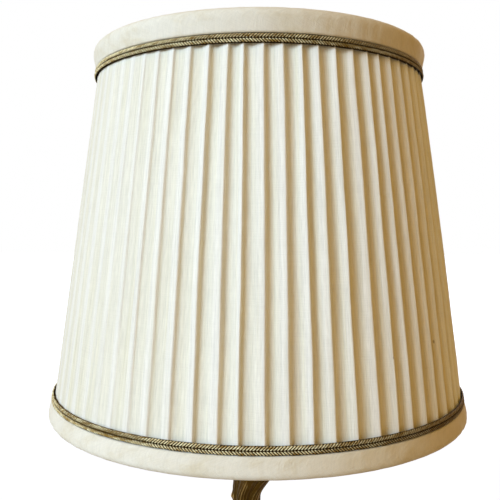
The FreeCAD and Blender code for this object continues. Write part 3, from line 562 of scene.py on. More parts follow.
@dataclass(frozen=True)
class Phenolic(Finish):
    """Dark brown moulded resin with a faint fleck."""

    body: Colour = srgb(40, 32, 27)
    fleck: Colour = srgb(84, 62, 44)

    def lay(self, shader: Shader) -> None:
        """Wood-flour flecks and soft scuffs.

        Args:
            shader: the material's nodes.
        """
        place = shader.body_place()
        flour = shader.cloud(place, (900, 900, 900), 3, 0.6)
        scuff = shader.cloud(place, (160, 160, 60), 4, 0.6)
        shader.surface(
            Base_Color=shader.mix(flour.eased(0.56, 0.8) * 0.5, self.body, self.fleck),
            Roughness=0.28 + scuff * 0.26,
            Coat_Weight=scuff * 0.2,
            Normal=shader.bump(scuff * 0.6 + flour * 0.2, 0.05 * MM),
        )


@dataclass(frozen=True)
class CandleCard(Finish):
    """Ivory lacquered card, faintly streaked like poured wax."""

    face: Colour = srgb(232, 221, 188)
    streak: Colour = srgb(206, 186, 138)

    def lay(self, shader: Shader) -> None:
        """Long streaks down the tube with a lacquer over them.

        Args:
            shader: the material's nodes.
        """
        place = shader.body_place()
        streak = shader.cloud(place, (240, 240, 22), 4, 0.6)
        speck = shader.cloud(place, (1300, 1300, 1300), 2, 0.5)
        colour = shader.mix(streak.eased(0.46, 0.78) * 0.7, self.face, self.streak)
        shader.surface(
            Base_Color=shader.tinted(colour, 0.96 + speck * 0.06),
            Roughness=0.36 + streak * 0.2,
            Coat_Weight=streak * 0.3,
            Normal=shader.bump(streak * 0.8 + speck * 0.1, 0.12 * MM),
        )


@dataclass(frozen=True)
class Porcelain(Finish):
    """Unglazed white ceramic."""

    face: Colour = srgb(222, 219, 209)
    grain: Colour = srgb(176, 168, 150)

    def lay(self, shader: Shader) -> None:
        """A grain of pits and specks.

        Args:
            shader: the material's nodes.
        """
        place = shader.body_place()
        grain = shader.cloud(place, (1400, 1400, 1400), 3, 0.6)
        stain = shader.cloud(place, (120, 120, 120), 4, 0.6)
        soiled = grain.eased(0.55, 0.8) * 0.3 + stain.eased(0.5, 0.8) * 0.3
        shader.surface(
            Base_Color=shader.mix(soiled, self.face, self.grain),
            Roughness=0.55 + grain * 0.2,
            Normal=shader.bump(grain, 0.06 * MM),
        )


@dataclass(frozen=True)
class ClearGlass(Finish):
    """Clear bulb glass with a trace of dust."""

    glass: Colour = (0.97, 0.98, 0.98)
    dust: Colour = srgb(214, 205, 186)

    def lay(self, shader: Shader) -> None:
        """Dust settles in patches and dulls the glass a little.

        Args:
            shader: the material's nodes.
        """
        place = shader.body_place()
        dust = shader.cloud(place, (200, 200, 120), 5, 0.65)
        shader.surface(
            Base_Color=shader.mix(dust.eased(0.5, 0.9) * 0.2, self.glass, self.dust),
            Roughness=0.01 + dust.eased(0.5, 0.95) * 0.1,
            Transmission_Weight=1.0,
            IOR=1.47,
        )


@dataclass(frozen=True)
class NickelPlate(Finish):
    """Nickel plated sheet, lightly scratched."""

    bright: Colour = srgb(208, 204, 194)
    dull: Colour = srgb(150, 143, 128)

    def lay(self, shader: Shader) -> None:
        """Scratches run round the piece.

        Args:
            shader: the material's nodes.
        """
        place = shader.body_place()
        scratch = shader.cloud(place, (120, 120, 4200), 3, 0.6)
        patch = shader.cloud(place, (180, 180, 180), 4, 0.6)
        shader.surface(
            Base_Color=shader.mix(patch.eased(0.4, 0.78), self.bright, self.dull),
            Metallic=1.0,
            Roughness=0.2 + scratch * 0.25,
            Normal=shader.bump(scratch, 0.03 * MM),
        )


@dataclass(frozen=True)
class BlackGlass(Finish):
    """The cap's dark glass insulator."""

    body: Colour = srgb(18, 17, 22)
    bloom: Colour = srgb(46, 42, 48)

    def lay(self, shader: Shader) -> None:
        """A slight bloom on poured glass.

        Args:
            shader: the material's nodes.
        """
        bloom = shader.cloud(shader.body_place(), (420, 420, 420), 4, 0.6)
        shader.surface(
            Base_Color=shader.mix(bloom.eased(0.45, 0.8), self.body, self.bloom),
            Roughness=0.08 + bloom * 0.2,
            Normal=shader.bump(bloom, 0.08 * MM),
        )


@dataclass(frozen=True)
class DrawnWire(Finish):
    """Grey drawn wire."""

    bright: Colour = srgb(120, 118, 116)
    dark: Colour = srgb(62, 60, 60)

    def lay(self, shader: Shader) -> None:
        """Die marks and oxide.

        Args:
            shader: the material's nodes.
        """
        oxide = shader.cloud(shader.body_place(), (1600, 1600, 700), 3, 0.6)
        shader.surface(
            Base_Color=shader.mix(oxide.eased(0.35, 0.7), self.bright, self.dark),
            Metallic=0.9,
            Roughness=0.35 + oxide * 0.25,
        )


@dataclass(frozen=True)
class LacqueredWire(Finish):
    """Frame wire under cream lacquer, chipped to rust in a few spots."""

    lacquer: Colour = srgb(226, 216, 190)
    shaded: Colour = srgb(196, 182, 148)
    rust: Colour = srgb(110, 66, 36)

    def lay(self, shader: Shader) -> None:
        """Runs in the lacquer, and small chips.

        Args:
            shader: the material's nodes.
        """
        place = shader.body_place()
        runs = shader.cloud(place, (240, 240, 160), 4, 0.6)
        near, chance = shader.cells(place, (190, 190, 120))
        chip = (chance > 0.93) * (1 - near.eased(0.12, 0.3))
        coat = shader.mix(runs.eased(0.4, 0.75), self.lacquer, self.shaded)
        shader.surface(
            Base_Color=shader.mix(chip * 0.85, coat, self.rust),
            Roughness=0.3 + runs * 0.15 + chip * 0.3,
            Normal=shader.bump(runs - chip * 0.5, 0.1 * MM),
        )


@dataclass(frozen=True)
class ZincPlate(Finish):
    """Zinc plated steel with a faint spangle."""

    bright: Colour = srgb(190, 192, 194)
    dull: Colour = srgb(132, 134, 136)

    def lay(self, shader: Shader) -> None:
        """Crystals of zinc, each its own grey, with scratches across them.

        Args:
            shader: the material's nodes.
        """
        place = shader.body_place()
        near, chance = shader.cells(place, (260, 260, 260))
        scratch = shader.cloud(place, (2600, 120, 400), 2, 0.5)
        shader.surface(
            Base_Color=shader.mix(chance * 0.6 + near * 0.3, self.bright, self.dull),
            Metallic=0.95,
            Roughness=0.28 + chance * 0.12 + scratch * 0.1,
            Normal=shader.bump(scratch, 0.02 * MM),
        )


@dataclass(frozen=True)
class CastIron(Finish):
    """Sand-cast iron, dark and rough."""

    skin: Colour = srgb(52, 50, 48)
    rust: Colour = srgb(98, 66, 44)

    def lay(self, shader: Shader) -> None:
        """Sand marks and a bloom of rust.

        Args:
            shader: the material's nodes.
        """
        place = shader.body_place()
        sand = shader.cloud(place, (700, 700, 700), 4, 0.65)
        bloom = shader.cloud(place, (60, 60, 60), 4, 0.6)
        shader.surface(
            Base_Color=shader.mix((bloom * sand).eased(0.28, 0.42) * 0.7, self.skin, self.rust),
            Metallic=0.4,
            Roughness=0.68 + sand * 0.2,
            Normal=shader.bump(sand, 0.3 * MM),
        )


@dataclass(frozen=True)
class WoolFelt(Finish):
    """Pressed green wool."""

    wool: Colour = srgb(46, 74, 54)
    lint: Colour = srgb(92, 112, 88)

    def lay(self, shader: Shader) -> None:
        """Fibres lie every way, and lint sits on them.

        Args:
            shader: the material's nodes.
        """
        place = shader.body_place()
        fibre = shader.cloud(place, (1700, 1700, 1700), 5, 0.75)
        tuft = shader.cloud(place, (260, 260, 260), 3, 0.6)
        shader.surface(
            Base_Color=shader.mix(fibre.eased(0.45, 0.75) * 0.5 + tuft * 0.15, self.wool, self.lint),
            Roughness=0.9 + fibre * 0.1,
            Sheen_Weight=0.5,
            Normal=shader.bump(fibre * 0.7 + tuft * 0.3, 0.3 * MM),
        )


class Slot(Enum):
    """The record's material slots, each with its finish."""

    FELT = ("felt", WoolFelt())
    PLATE_STEEL = ("plate_steel", ZincPlate())
    BALLAST_IRON = ("ballast_iron", CastIron())
    BRONZE = ("bronze", BronzePatina())
    PHENOLIC = ("phenolic", Phenolic())
    BRIGHT_BRASS = ("bright_brass", SatinBrass())
    CANDLE_CARD = ("candle_card", CandleCard())
    PORCELAIN = ("porcelain", Porcelain())
    CLEAR_GLASS = ("clear_glass", ClearGlass())
    CAP_METAL = ("cap_metal", NickelPlate())
    DARK_BEAD = ("dark_bead", BlackGlass())
    FILAMENT = ("filament_metal", DrawnWire())
    PLEATED_SILK = ("pleated_silk", PleatedSilk())
    LINING_SILK = ("lining_silk", LiningSilk())
    BINDING = ("binding_cloth", BindingCloth())
    BRAID = ("gold_braid", GoldBraid())
    FRAME_WIRE = ("frame_wire", LacqueredWire())

    @property
    def title(self) -> str:
        """The slot's name in the record."""
        return self.value[0]

    @property
    def finish(self) -> Finish:
        """The slot's finish."""
        return self.value[1]

    @classmethod
    def named(cls, title: str) -> Slot:
        """The slot of that name."""
        return next(slot for slot in cls if slot.title == title)


# Mesh tools


@dataclass
class Spot:
    """One point of a surface: its place, where it is on the cloth, and how far it is raised."""

    place: Vector
    along: float = 0.0
    up: float = 0.0
    height: float = 0.0


Layout = Callable[[float, float], Spot]


class Skin:
    """A surface on its way to being a piece of the lamp."""

    copy_weld: ClassVar[float] = 0.001 * MM
    laid_weld: ClassVar[float] = 0.002 * MM

    def __init__(self, name: str) -> None:
        """Start with no faces.

        Args:
            name: the piece's name.
        """
        self.name = name
        self.mesh = bmesh.new()
        self.cloth = self.mesh.loops.layers.uv.new(CLOTH)
        self.height = self.mesh.verts.layers.float.new(ATTRIBUTE)

    @classmethod
    def copied(cls, name: str, node: bpy.types.Object) -> Skin:
        """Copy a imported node's surface, to be worked further.

        Args:
            name: the piece's name.
            node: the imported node.

        Returns:
            The surface, welded and smooth.
        """
        skin = cls(name)
        skin.mesh.from_mesh(node.data)
        layers = skin.mesh.verts.layers.float
        skin.height = layers.get(ATTRIBUTE) or layers.new(ATTRIBUTE)
        skin.mesh.transform(node.matrix_world)
        bmesh.ops.remove_doubles(skin.mesh, verts=skin.mesh.verts, dist=cls.copy_weld)
        for face in skin.mesh.faces:
            face.smooth = True
            face.material_index = 0
        return skin

    @classmethod
    def laid(cls, name: str, columns: int, rows: int, layout: Layout) -> Skin:
        """Lay a grid out as a surface and weld its edges where they meet.

        Args:
            name: the piece's name.
            columns: faces round the surface.
            rows: faces up it.
            layout: gives the spot at two shares, round and up.

        Returns:
            The surface.
        """
        skin = cls(name)
        bmesh.ops.create_grid(skin.mesh, x_segments=columns, y_segments=rows, size=0.5)
        spots = {}
        for vertex in skin.mesh.verts:
            spot = layout(vertex.co.x + 0.5, vertex.co.y + 0.5)
            spots[vertex] = spot
            vertex[skin.height] = spot.height
        for face in skin.mesh.faces:
            face.smooth = True
            for corner in face.loops:
                spot = spots[corner.vert]
                corner[skin.cloth].uv = (spot.along, spot.up)
        for vertex, spot in spots.items():
            vertex.co = spot.place
        bmesh.ops.remove_doubles(skin.mesh, verts=skin.mesh.verts, dist=cls.laid_weld)
        return skin

    def turned_outwards(self) -> Skin:
        """Turn every face outwards, or away from the lamp's axis where the surface is open.

        Returns:
            The surface itself.
        """
        if any(edge.is_boundary for edge in self.mesh.edges):
            level = Vector((1, 1, 0))
            facing = sum(face.normal.dot(face.calc_center_median() * level) for face in self.mesh.faces)
            if facing < 0:
                bmesh.ops.reverse_faces(self.mesh, faces=self.mesh.faces)
        else:
            bmesh.ops.recalc_face_normals(self.mesh, faces=self.mesh.faces)
        return self

    def thickened(self, thick: float) -> Skin:
        """Give an open surface a thickness on its inner side.

        Args:
            thick: the thickness.

        Returns:
            The surface itself.
        """
        self.turned_outwards()
        bmesh.ops.solidify(self.mesh, geom=self.mesh.faces[:], thickness=thick)
        bmesh.ops.recalc_face_normals(self.mesh, faces=self.mesh.faces)
        for face in self.mesh.faces:
            face.smooth = True
        return self

    def piece(self, slot: Slot, body: str, *replaced: str) -> bpy.types.Object:
        """Finish the surface as a piece of the lamp.

        Args:
            slot: the material slot that it takes its finish from.
            body: the body that it rides on.
            replaced: the nodes that it stands for.

        Returns:
            The piece.
        """
        data = bpy.data.meshes.new(self.name)
        self.mesh.to_mesh(data)
        self.mesh.free()
        data.materials.append(slot.finish.material())
        made = bpy.data.objects.new(self.name, data)
        bpy.context.scene.collection.objects.link(made)
        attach(made, body)
        if replaced:
            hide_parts(*replaced)
        log.info("%s: %d faces, on %s", self.name, len(data.polygons), body)
        return made


class Track:
    """A smooth line through points of an outline, followed by its length."""

    def __init__(self, points: Sequence[tuple[float, float]], closed: bool = False, steps: int = 8) -> None:
        """Run a curve through the points.

        Args:
            points: radius and height of each.
            closed: whether the last joins the first.
            steps: stretches between neighbours.
        """
        count = len(points)
        spots = [Vector((*point, 0)) for point in points]
        self.line: list[Vector] = []
        for number in range(count if closed else count - 1):
            four = [
                spots[(number + k) % count] if closed else spots[min(count - 1, max(0, number + k))]
                for k in (-1, 0, 1, 2)
            ]
            self.line += [self._between(four, step / steps) for step in range(steps)]
        self.line.append(spots[0] if closed else spots[-1])
        self.marks = [0.0]
        for start, end in zip(self.line, self.line[1:]):
            self.marks.append(self.marks[-1] + (end - start).length)

    @staticmethod
    def _between(four: Sequence[Vector], share: float) -> Vector:
        """A point of the curve through four points, between the middle two.

        Args:
            four: the points.
            share: how far it is from the second to the third.

        Returns:
            The point.
        """
        before, start, end, after = four
        first = (end - before) * 0.5
        last = (after - start) * 0.5
        square, cube = share * share, share ** 3
        return (start * (2 * cube - 3 * square + 1) + first * (cube - 2 * square + share)
                + end * (3 * square - 2 * cube) + last * (cube - square))

    @property
    def length(self) -> float:
        """The line's length."""
        return self.marks[-1]

    def at(self, share: float) -> tuple[float, float]:
        """Where the line is.

        Args:
            share: a share of the line's length.

        Returns:
            The radius and height there.
        """
        goal = share * self.length
        number = max(1, next((k for k, mark in enumerate(self.marks) if mark >= goal), len(self.marks) - 1))
        start, end = self.marks[number - 1], self.marks[number]
        way = (goal - start) / (end - start) if end > start else 0
        spot = self.line[number - 1].lerp(self.line[number], way)
        return spot.x, spot.y


@dataclass(frozen=True)
class Thread:
    """A rounded screw thread."""

    pitch: float
    depth: float

    def cut(self, angle: float, level: float) -> float:
        """How deep the thread is cut at an angle and a level."""
        return self.depth * (0.5 - 0.5 * math.cos(TAU * level / self.pitch - angle))


def lobed(radius: float, lobe: float, count: int, angle: float) -> float:
    """The radius of a ring of arcs that swell out by lobe between valleys on a circle.

    Args:
        radius: the valleys' radius.
        lobe: how far each arc swells past it.
        count: how many arcs.
        angle: the angle from a valley.

    Returns:
        The radius at that angle.
    """
    half = math.pi / count
    off = (angle % (2 * half)) - half
    crest = radius + lobe
    centre = (crest ** 2 - radius ** 2) / (2 * (crest - radius * math.cos(half)))
    bulge = crest - centre
    return centre * math.cos(off) + math.sqrt(max(0.0, bulge ** 2 - (centre * math.sin(off)) ** 2))


def veined(within: float, way: float) -> float:
    """How far the skin of a cast leaf stands up: a midrib with slanting veins from it.

    Args:
        within: how far from the leaf's middle, 0 to 1 at its edge.
        way: how far along the leaf, counted in pairs of veins.

    Returns:
        The height, 0 to 1.
    """
    vein = 1 - abs(math.sin(TAU * (within * VEIN_SLANT + way))) ** VEIN_ROUND
    return max(vein * VEIN_RISE, math.exp(-(within / MIDRIB_SHARE) ** 2))


# The lamp


@dataclass
class Wall:
    """The shade's slanting wall, which all its layers follow."""

    bottom: float
    top: float
    low_radius: float = 98.4 * MM
    high_radius: float = 75.2 * MM

    @classmethod
    def from_frame(cls) -> Wall:
        """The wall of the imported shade.

        Returns:
            The wall, between the two bindings' edges.
        """
        return cls(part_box("bottom_binding")[0].z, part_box("top_binding")[1].z)

    def ridge(self, level: float) -> float:
        """The radius of the pleats' crests at a level."""
        return blend(self.low_radius, self.high_radius, (level - self.bottom) / (self.top - self.bottom))


@dataclass
class Shade:
    """The pleated shade: cover, lining, bindings and braids over the wire frame."""

    wall: Wall
    body: str = "shade"

    pleat_count: int = 69
    pleat_rows: int = 56
    pleat_seed: int = 69
    pleat_depth: float = 1.8 * MM
    depth_shares: tuple[float, float] = (0.82, 1.06)
    pleat_swell: float = 0.75 * MM
    swell_round: float = 0.6
    pressed_share: float = 0.93
    pressed_angle: float = math.radians(200)
    pressed_spread: float = math.radians(47)
    crest_start_share: float = 0.45
    crest_jitter_share: float = 0.075
    crest_sway_share: float = 0.05
    edge_jitter_share: float = 0.1
    edge_sway_share: float = 0.05
    edge_waver_share: float = 0.018
    puff_deep: float = 0.16 * MM
    crease_deep: float = 0.07 * MM
    cover_inset: float = 1.2 * MM
    cloth_flat: tuple[float, float] = (0.76, 0.19)

    rib_count: int = 6
    lining_columns: int = 288
    lining_rows: int = 24
    lining_inset: float = 4.5 * MM
    lining_thick: float = 0.4 * MM
    lining_drawn: float = 0.9 * MM
    lining_round: float = 1.5
    lining_pull: float = 0.12 * MM

    strip_columns: int = 420
    strip_rows: int = 30
    strip_thick: float = 0.5 * MM
    strip_flat: tuple[float, float] = (0.026, 0.62)
    bottom_hem: float = 8.7 * MM
    top_hem: float = 9.6 * MM
    hem_proud: float = 1.15 * MM
    hem_inset: float = 6.2 * MM
    pucker_deep: float = 0.2 * MM
    pucker_rise_share: float = 0.06
    gather_deep: float = 0.07 * MM
    gather_share: float = 0.25
    bottom_seed: int = 7
    top_seed: int = 11

    thread_pitch: float = 1.2 * MM
    thread_steps: int = 6
    thread_lean: float = 3.2
    thread_round: float = 1.7
    cord_round: float = 0.4
    braid_rows: int = 14
    back_rows: int = 2
    braid_depth: float = 1.7 * MM
    braid_gap: float = 0.1 * MM
    braid_reach_share: float = 0.47
    braid_base_share: float = 0.36
    braid_rise_share: float = 0.6
    least_ply_share: float = 0.12
    least_fuzz_share: float = 0.7
    fringe_share: float = 0.14
    fringe_shine: float = 0.5

    # One pleat from left to right: where each point is across it, and how deep it lies
    fold_shares: ClassVar[tuple[tuple[float, float], ...]] = (
        (0.0, 0.6), (0.045, 0.83), (0.13, 0.95), (0.25, 1.0), (0.36, 0.98), (0.44, 0.89), (0.5, 0.77),
        (0.56, 0.64), (0.62, 0.51), (0.68, 0.38), (0.74, 0.26), (0.8, 0.15), (0.86, 0.05), (0.905, 0.0),
        (0.94, 0.07), (0.972, 0.31),
    )

    # Each strip round its rim, from outside to inside: how far in from the rim's outermost point and how far
    # from its edge, in millimetres
    bottom_fold: ClassVar[tuple[tuple[float, float], ...]] = (
        (0.75, 6.2), (0.15, 3.6), (0.1, 1.9), (1.1, 0.5), (2.9, 0.05), (5.3, 0.1), (7, 0.9), (7.6, 2.6),
    )
    top_fold: ClassVar[tuple[tuple[float, float], ...]] = (
        (0.55, 6.6), (0.1, 3.8), (0.15, 1.9), (1.0, 0.55), (2.8, 0.05), (6.4, 0.1), (8.8, 0.8), (9.7, 2.6),
    )

    def build(self) -> None:
        """Make the cloth pieces; the wires stay as they are."""
        bottom_braid = self.braid("bottom_braid")
        top_braid = self.braid("top_braid")
        cover = self.cover()
        lining = self.lining()
        bottom = self.binding("bottom_binding", self.bottom_track(), self.bottom_seed)
        top = self.binding("top_binding", self.top_track(), self.top_seed)

    def cover(self) -> bpy.types.Object:
        """The silk cover: raised pleats of uneven width with a crisp fold on their right.

        Returns:
            The piece.
        """
        chance = random.Random(self.pleat_seed)
        count, folds = self.pleat_count, self.fold_shares
        step = TAU / count
        borders = [chance.uniform(-1, 1) * self.edge_jitter_share for _ in range(count)]
        crests = [
            self.crest_start_share + chance.uniform(-1, 1) * self.crest_jitter_share for _ in range(count)
        ]
        depths = [chance.uniform(*self.depth_shares) for _ in range(count)]
        low, high = self.wall.bottom + self.cover_inset, self.wall.top - self.cover_inset
        mean = math.pi * (self.wall.low_radius + self.wall.high_radius)

        def border(number: int, share: float) -> float:
            """The angle at which a pleat starts.

            Args:
                number: which pleat it is.
                share: how far up the cover.

            Returns:
                The angle.
            """
            pleat = number % count
            sway = self.edge_sway_share * wander(pleat * 3.7, share * 2.3)
            waver = self.edge_waver_share * wander(pleat * 9.1, share * 9)
            return step * (number + borders[pleat] + sway + waver)

        def layout(along: float, share: float) -> Spot:
            """One point of the cover.

            Args:
                along: how far round it is.
                share: how far up.

            Returns:
                The spot.
            """
            column = round(along * count * len(folds))
            number, fold = divmod(column, len(folds))
            pleat = number % count
            across, depth = folds[fold]
            crest = crests[pleat] + self.crest_sway_share * wander(pleat * 5.3, share * 3.1, 4.0)
            start = self.crest_start_share
            if across < start:
                across = across * crest / start
            else:
                across = crest + (across - start) * (1 - crest) / (1 - start)
            angle = blend(border(number, share), border(number + 1, share), across)
            level = blend(low, high, share)
            radius = self.wall.ridge(level)
            pressed = math.exp(-(((angle - self.pressed_angle) / self.pressed_spread) ** 4))
            loose = 1 - self.pressed_share * pressed
            swell = self.pleat_swell * loose * math.sin(math.pi * share) ** self.swell_round
            deep = self.pleat_depth * depths[pleat] * loose + swell
            puff = self.puff_deep * wander(pleat * 2.9, share * 7, across * 2) * (1 - depth)
            crease = self.crease_deep * wander(angle * 90, share * 36, 2.0)
            radius += swell + puff + crease - deep * depth
            # The height attribute is low in the gaps between the pleats, and the material paints shade there.
            return Spot(polar(radius, angle, level), mean * along, level, 1 - depth)

        skin = Skin.laid("pleated_cover_silk", count * len(folds), self.pleat_rows, layout)
        return skin.turned_outwards().piece(Slot.PLEATED_SILK, self.body, "pleated_cover")

    def lining(self) -> bpy.types.Object:
        """The smooth lining, drawn in a little between the ribs.

        Returns:
            The piece.
        """
        low, high = self.wall.bottom + self.cover_inset, self.wall.top - self.cover_inset

        def layout(along: float, share: float) -> Spot:
            """One point of the lining.

            Args:
                along: how far round it is.
                share: how far up.

            Returns:
                The spot.
            """
            angle = TAU * along
            level = blend(low, high, share)
            between = abs(math.sin(self.rib_count / 2 * angle)) ** self.lining_round
            drawn = self.lining_drawn * math.sin(math.pi * share) * between
            pull = self.lining_pull * (1 + wander(math.cos(angle) * 14, math.sin(angle) * 14, share * 1.6))
            radius = self.wall.ridge(level) - self.lining_inset - drawn - pull
            return Spot(polar(radius, angle, level), radius * angle, level)

        skin = Skin.laid("lining_silk", self.lining_columns, self.lining_rows, layout)
        return skin.thickened(self.lining_thick).piece(Slot.LINING_SILK, self.body, "lining")

    def bottom_track(self) -> Track:
        """The bottom strip from its outer hem round the rim to its inner hem.

        Returns:
            Its section.
        """
        foot, rim = self.wall.bottom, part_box("bottom_binding")[1].x
        hem = foot + self.bottom_hem
        fold = [(rim - inset * MM, foot + rise * MM) for inset, rise in self.bottom_fold]
        return self.strip_track(hem, fold)

    def top_track(self) -> Track:
        """The top strip from its outer hem over the rim to its inner hem.

        Returns:
            Its section.
        """
        edge, rim = self.wall.top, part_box("top_binding")[1].x
        hem = edge - self.top_hem
        fold = [(rim - inset * MM, edge - drop * MM) for inset, drop in self.top_fold]
        return self.strip_track(hem, fold)

    def strip_track(self, hem: float, fold: Sequence[tuple[float, float]]) -> Track:
        """A strip's section, with both hems at one level.

        Args:
            hem: the hems' level.
            fold: the radius and height of the points between them.

        Returns:
            The section.
        """
        wall = self.wall.ridge(hem)
        return Track([(wall + self.hem_proud, hem), *fold, (wall - self.hem_inset, hem)])

    def binding(self, node: str, track: Track, seed: int) -> bpy.types.Object:
        """A strip of cloth folded over a rim, slightly puckered along its hem.

        Args:
            node: the node that it stands for.
            track: its section.
            seed: sets its puckers apart from the other strip's.

        Returns:
            The piece.
        """
        lowest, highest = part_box(node)[0].z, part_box(node)[1].z

        def layout(along: float, share: float) -> Spot:
            """One point of the strip.

            Args:
                along: how far round it is.
                share: how far along its section.

            Returns:
                The spot.
            """
            angle = TAU * along
            radius, level = track.at(share)
            round_x, round_y = math.cos(angle), math.sin(angle)
            pucker = self.pucker_deep * wander(round_x * 24 + seed, round_y * 24, share * 3)
            gather = self.gather_deep * wander(round_x * 70, round_y * 70 + seed, share * 2)
            radius += min(0.0, pucker - self.pucker_deep / 2) + gather * (1 - ease(share / self.gather_share))
            level = min(highest, max(lowest, level + self.pucker_rise_share * pucker))
            return Spot(polar(radius, angle, level), radius * angle, share * track.length)

        skin = Skin.laid(f"{node}_strip", self.strip_columns, self.strip_rows, layout)
        return skin.thickened(self.strip_thick).piece(Slot.BINDING, self.body, node)

    def braid(self, node: str) -> bpy.types.Object:
        """Two cords side by side, wrapped in slanting threads that meet in a herringbone.

        Args:
            node: the node that it stands for.

        Returns:
            The piece.
        """
        low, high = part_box(node)[0].z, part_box(node)[1].z
        wide = high - low
        threads = round(TAU * self.wall.ridge(low) / self.thread_pitch)
        front, back = self.braid_rows, self.back_rows

        def layout(along: float, share: float) -> Spot:
            """One point of the braid: up its front over both cords, then down its back.

            Args:
                along: how far round it is.
                share: how far up the front and down the back.

            Returns:
                The spot.
            """
            angle = TAU * along
            row = round(share * (front + back))
            across = row / front if row <= front else 1 - (row - front) / back
            level = low + wide * (0.5 + self.braid_reach_share * (2 * across - 1))
            twice = across * 2
            on_cord = 0 < across < 1 and twice != 1
            cord = math.sin(math.pi * (twice - math.floor(twice))) ** self.cord_round if on_cord else 0.0
            turn = along * threads - abs(across - 0.5) * self.thread_lean
            ply = abs(math.sin(math.pi * turn)) ** self.thread_round
            fuzz = 0.5 + 0.5 * wander(round(turn) * 7.3, across * 2)
            raised = depth = 0.0
            if row <= front:
                raised = cord * blend(self.least_ply_share, 1, ply) * blend(self.least_fuzz_share, 1, fuzz)
                depth = self.braid_depth * (self.braid_base_share + self.braid_rise_share * raised)
            radius = self.wall.ridge(level) + self.braid_gap + depth
            fringe = self.fringe_shine * ease((across - 1) / self.fringe_share + 1) * fuzz
            # The height attribute is low in the grooves and at the edges, and the material paints shade
            # there.
            return Spot(polar(radius, angle, level), radius * angle, across * wide, raised + fringe)

        skin = Skin.laid(f"{node}_cords", threads * self.thread_steps, front + back, layout)
        return skin.turned_outwards().piece(Slot.BRAID, self.body, node)


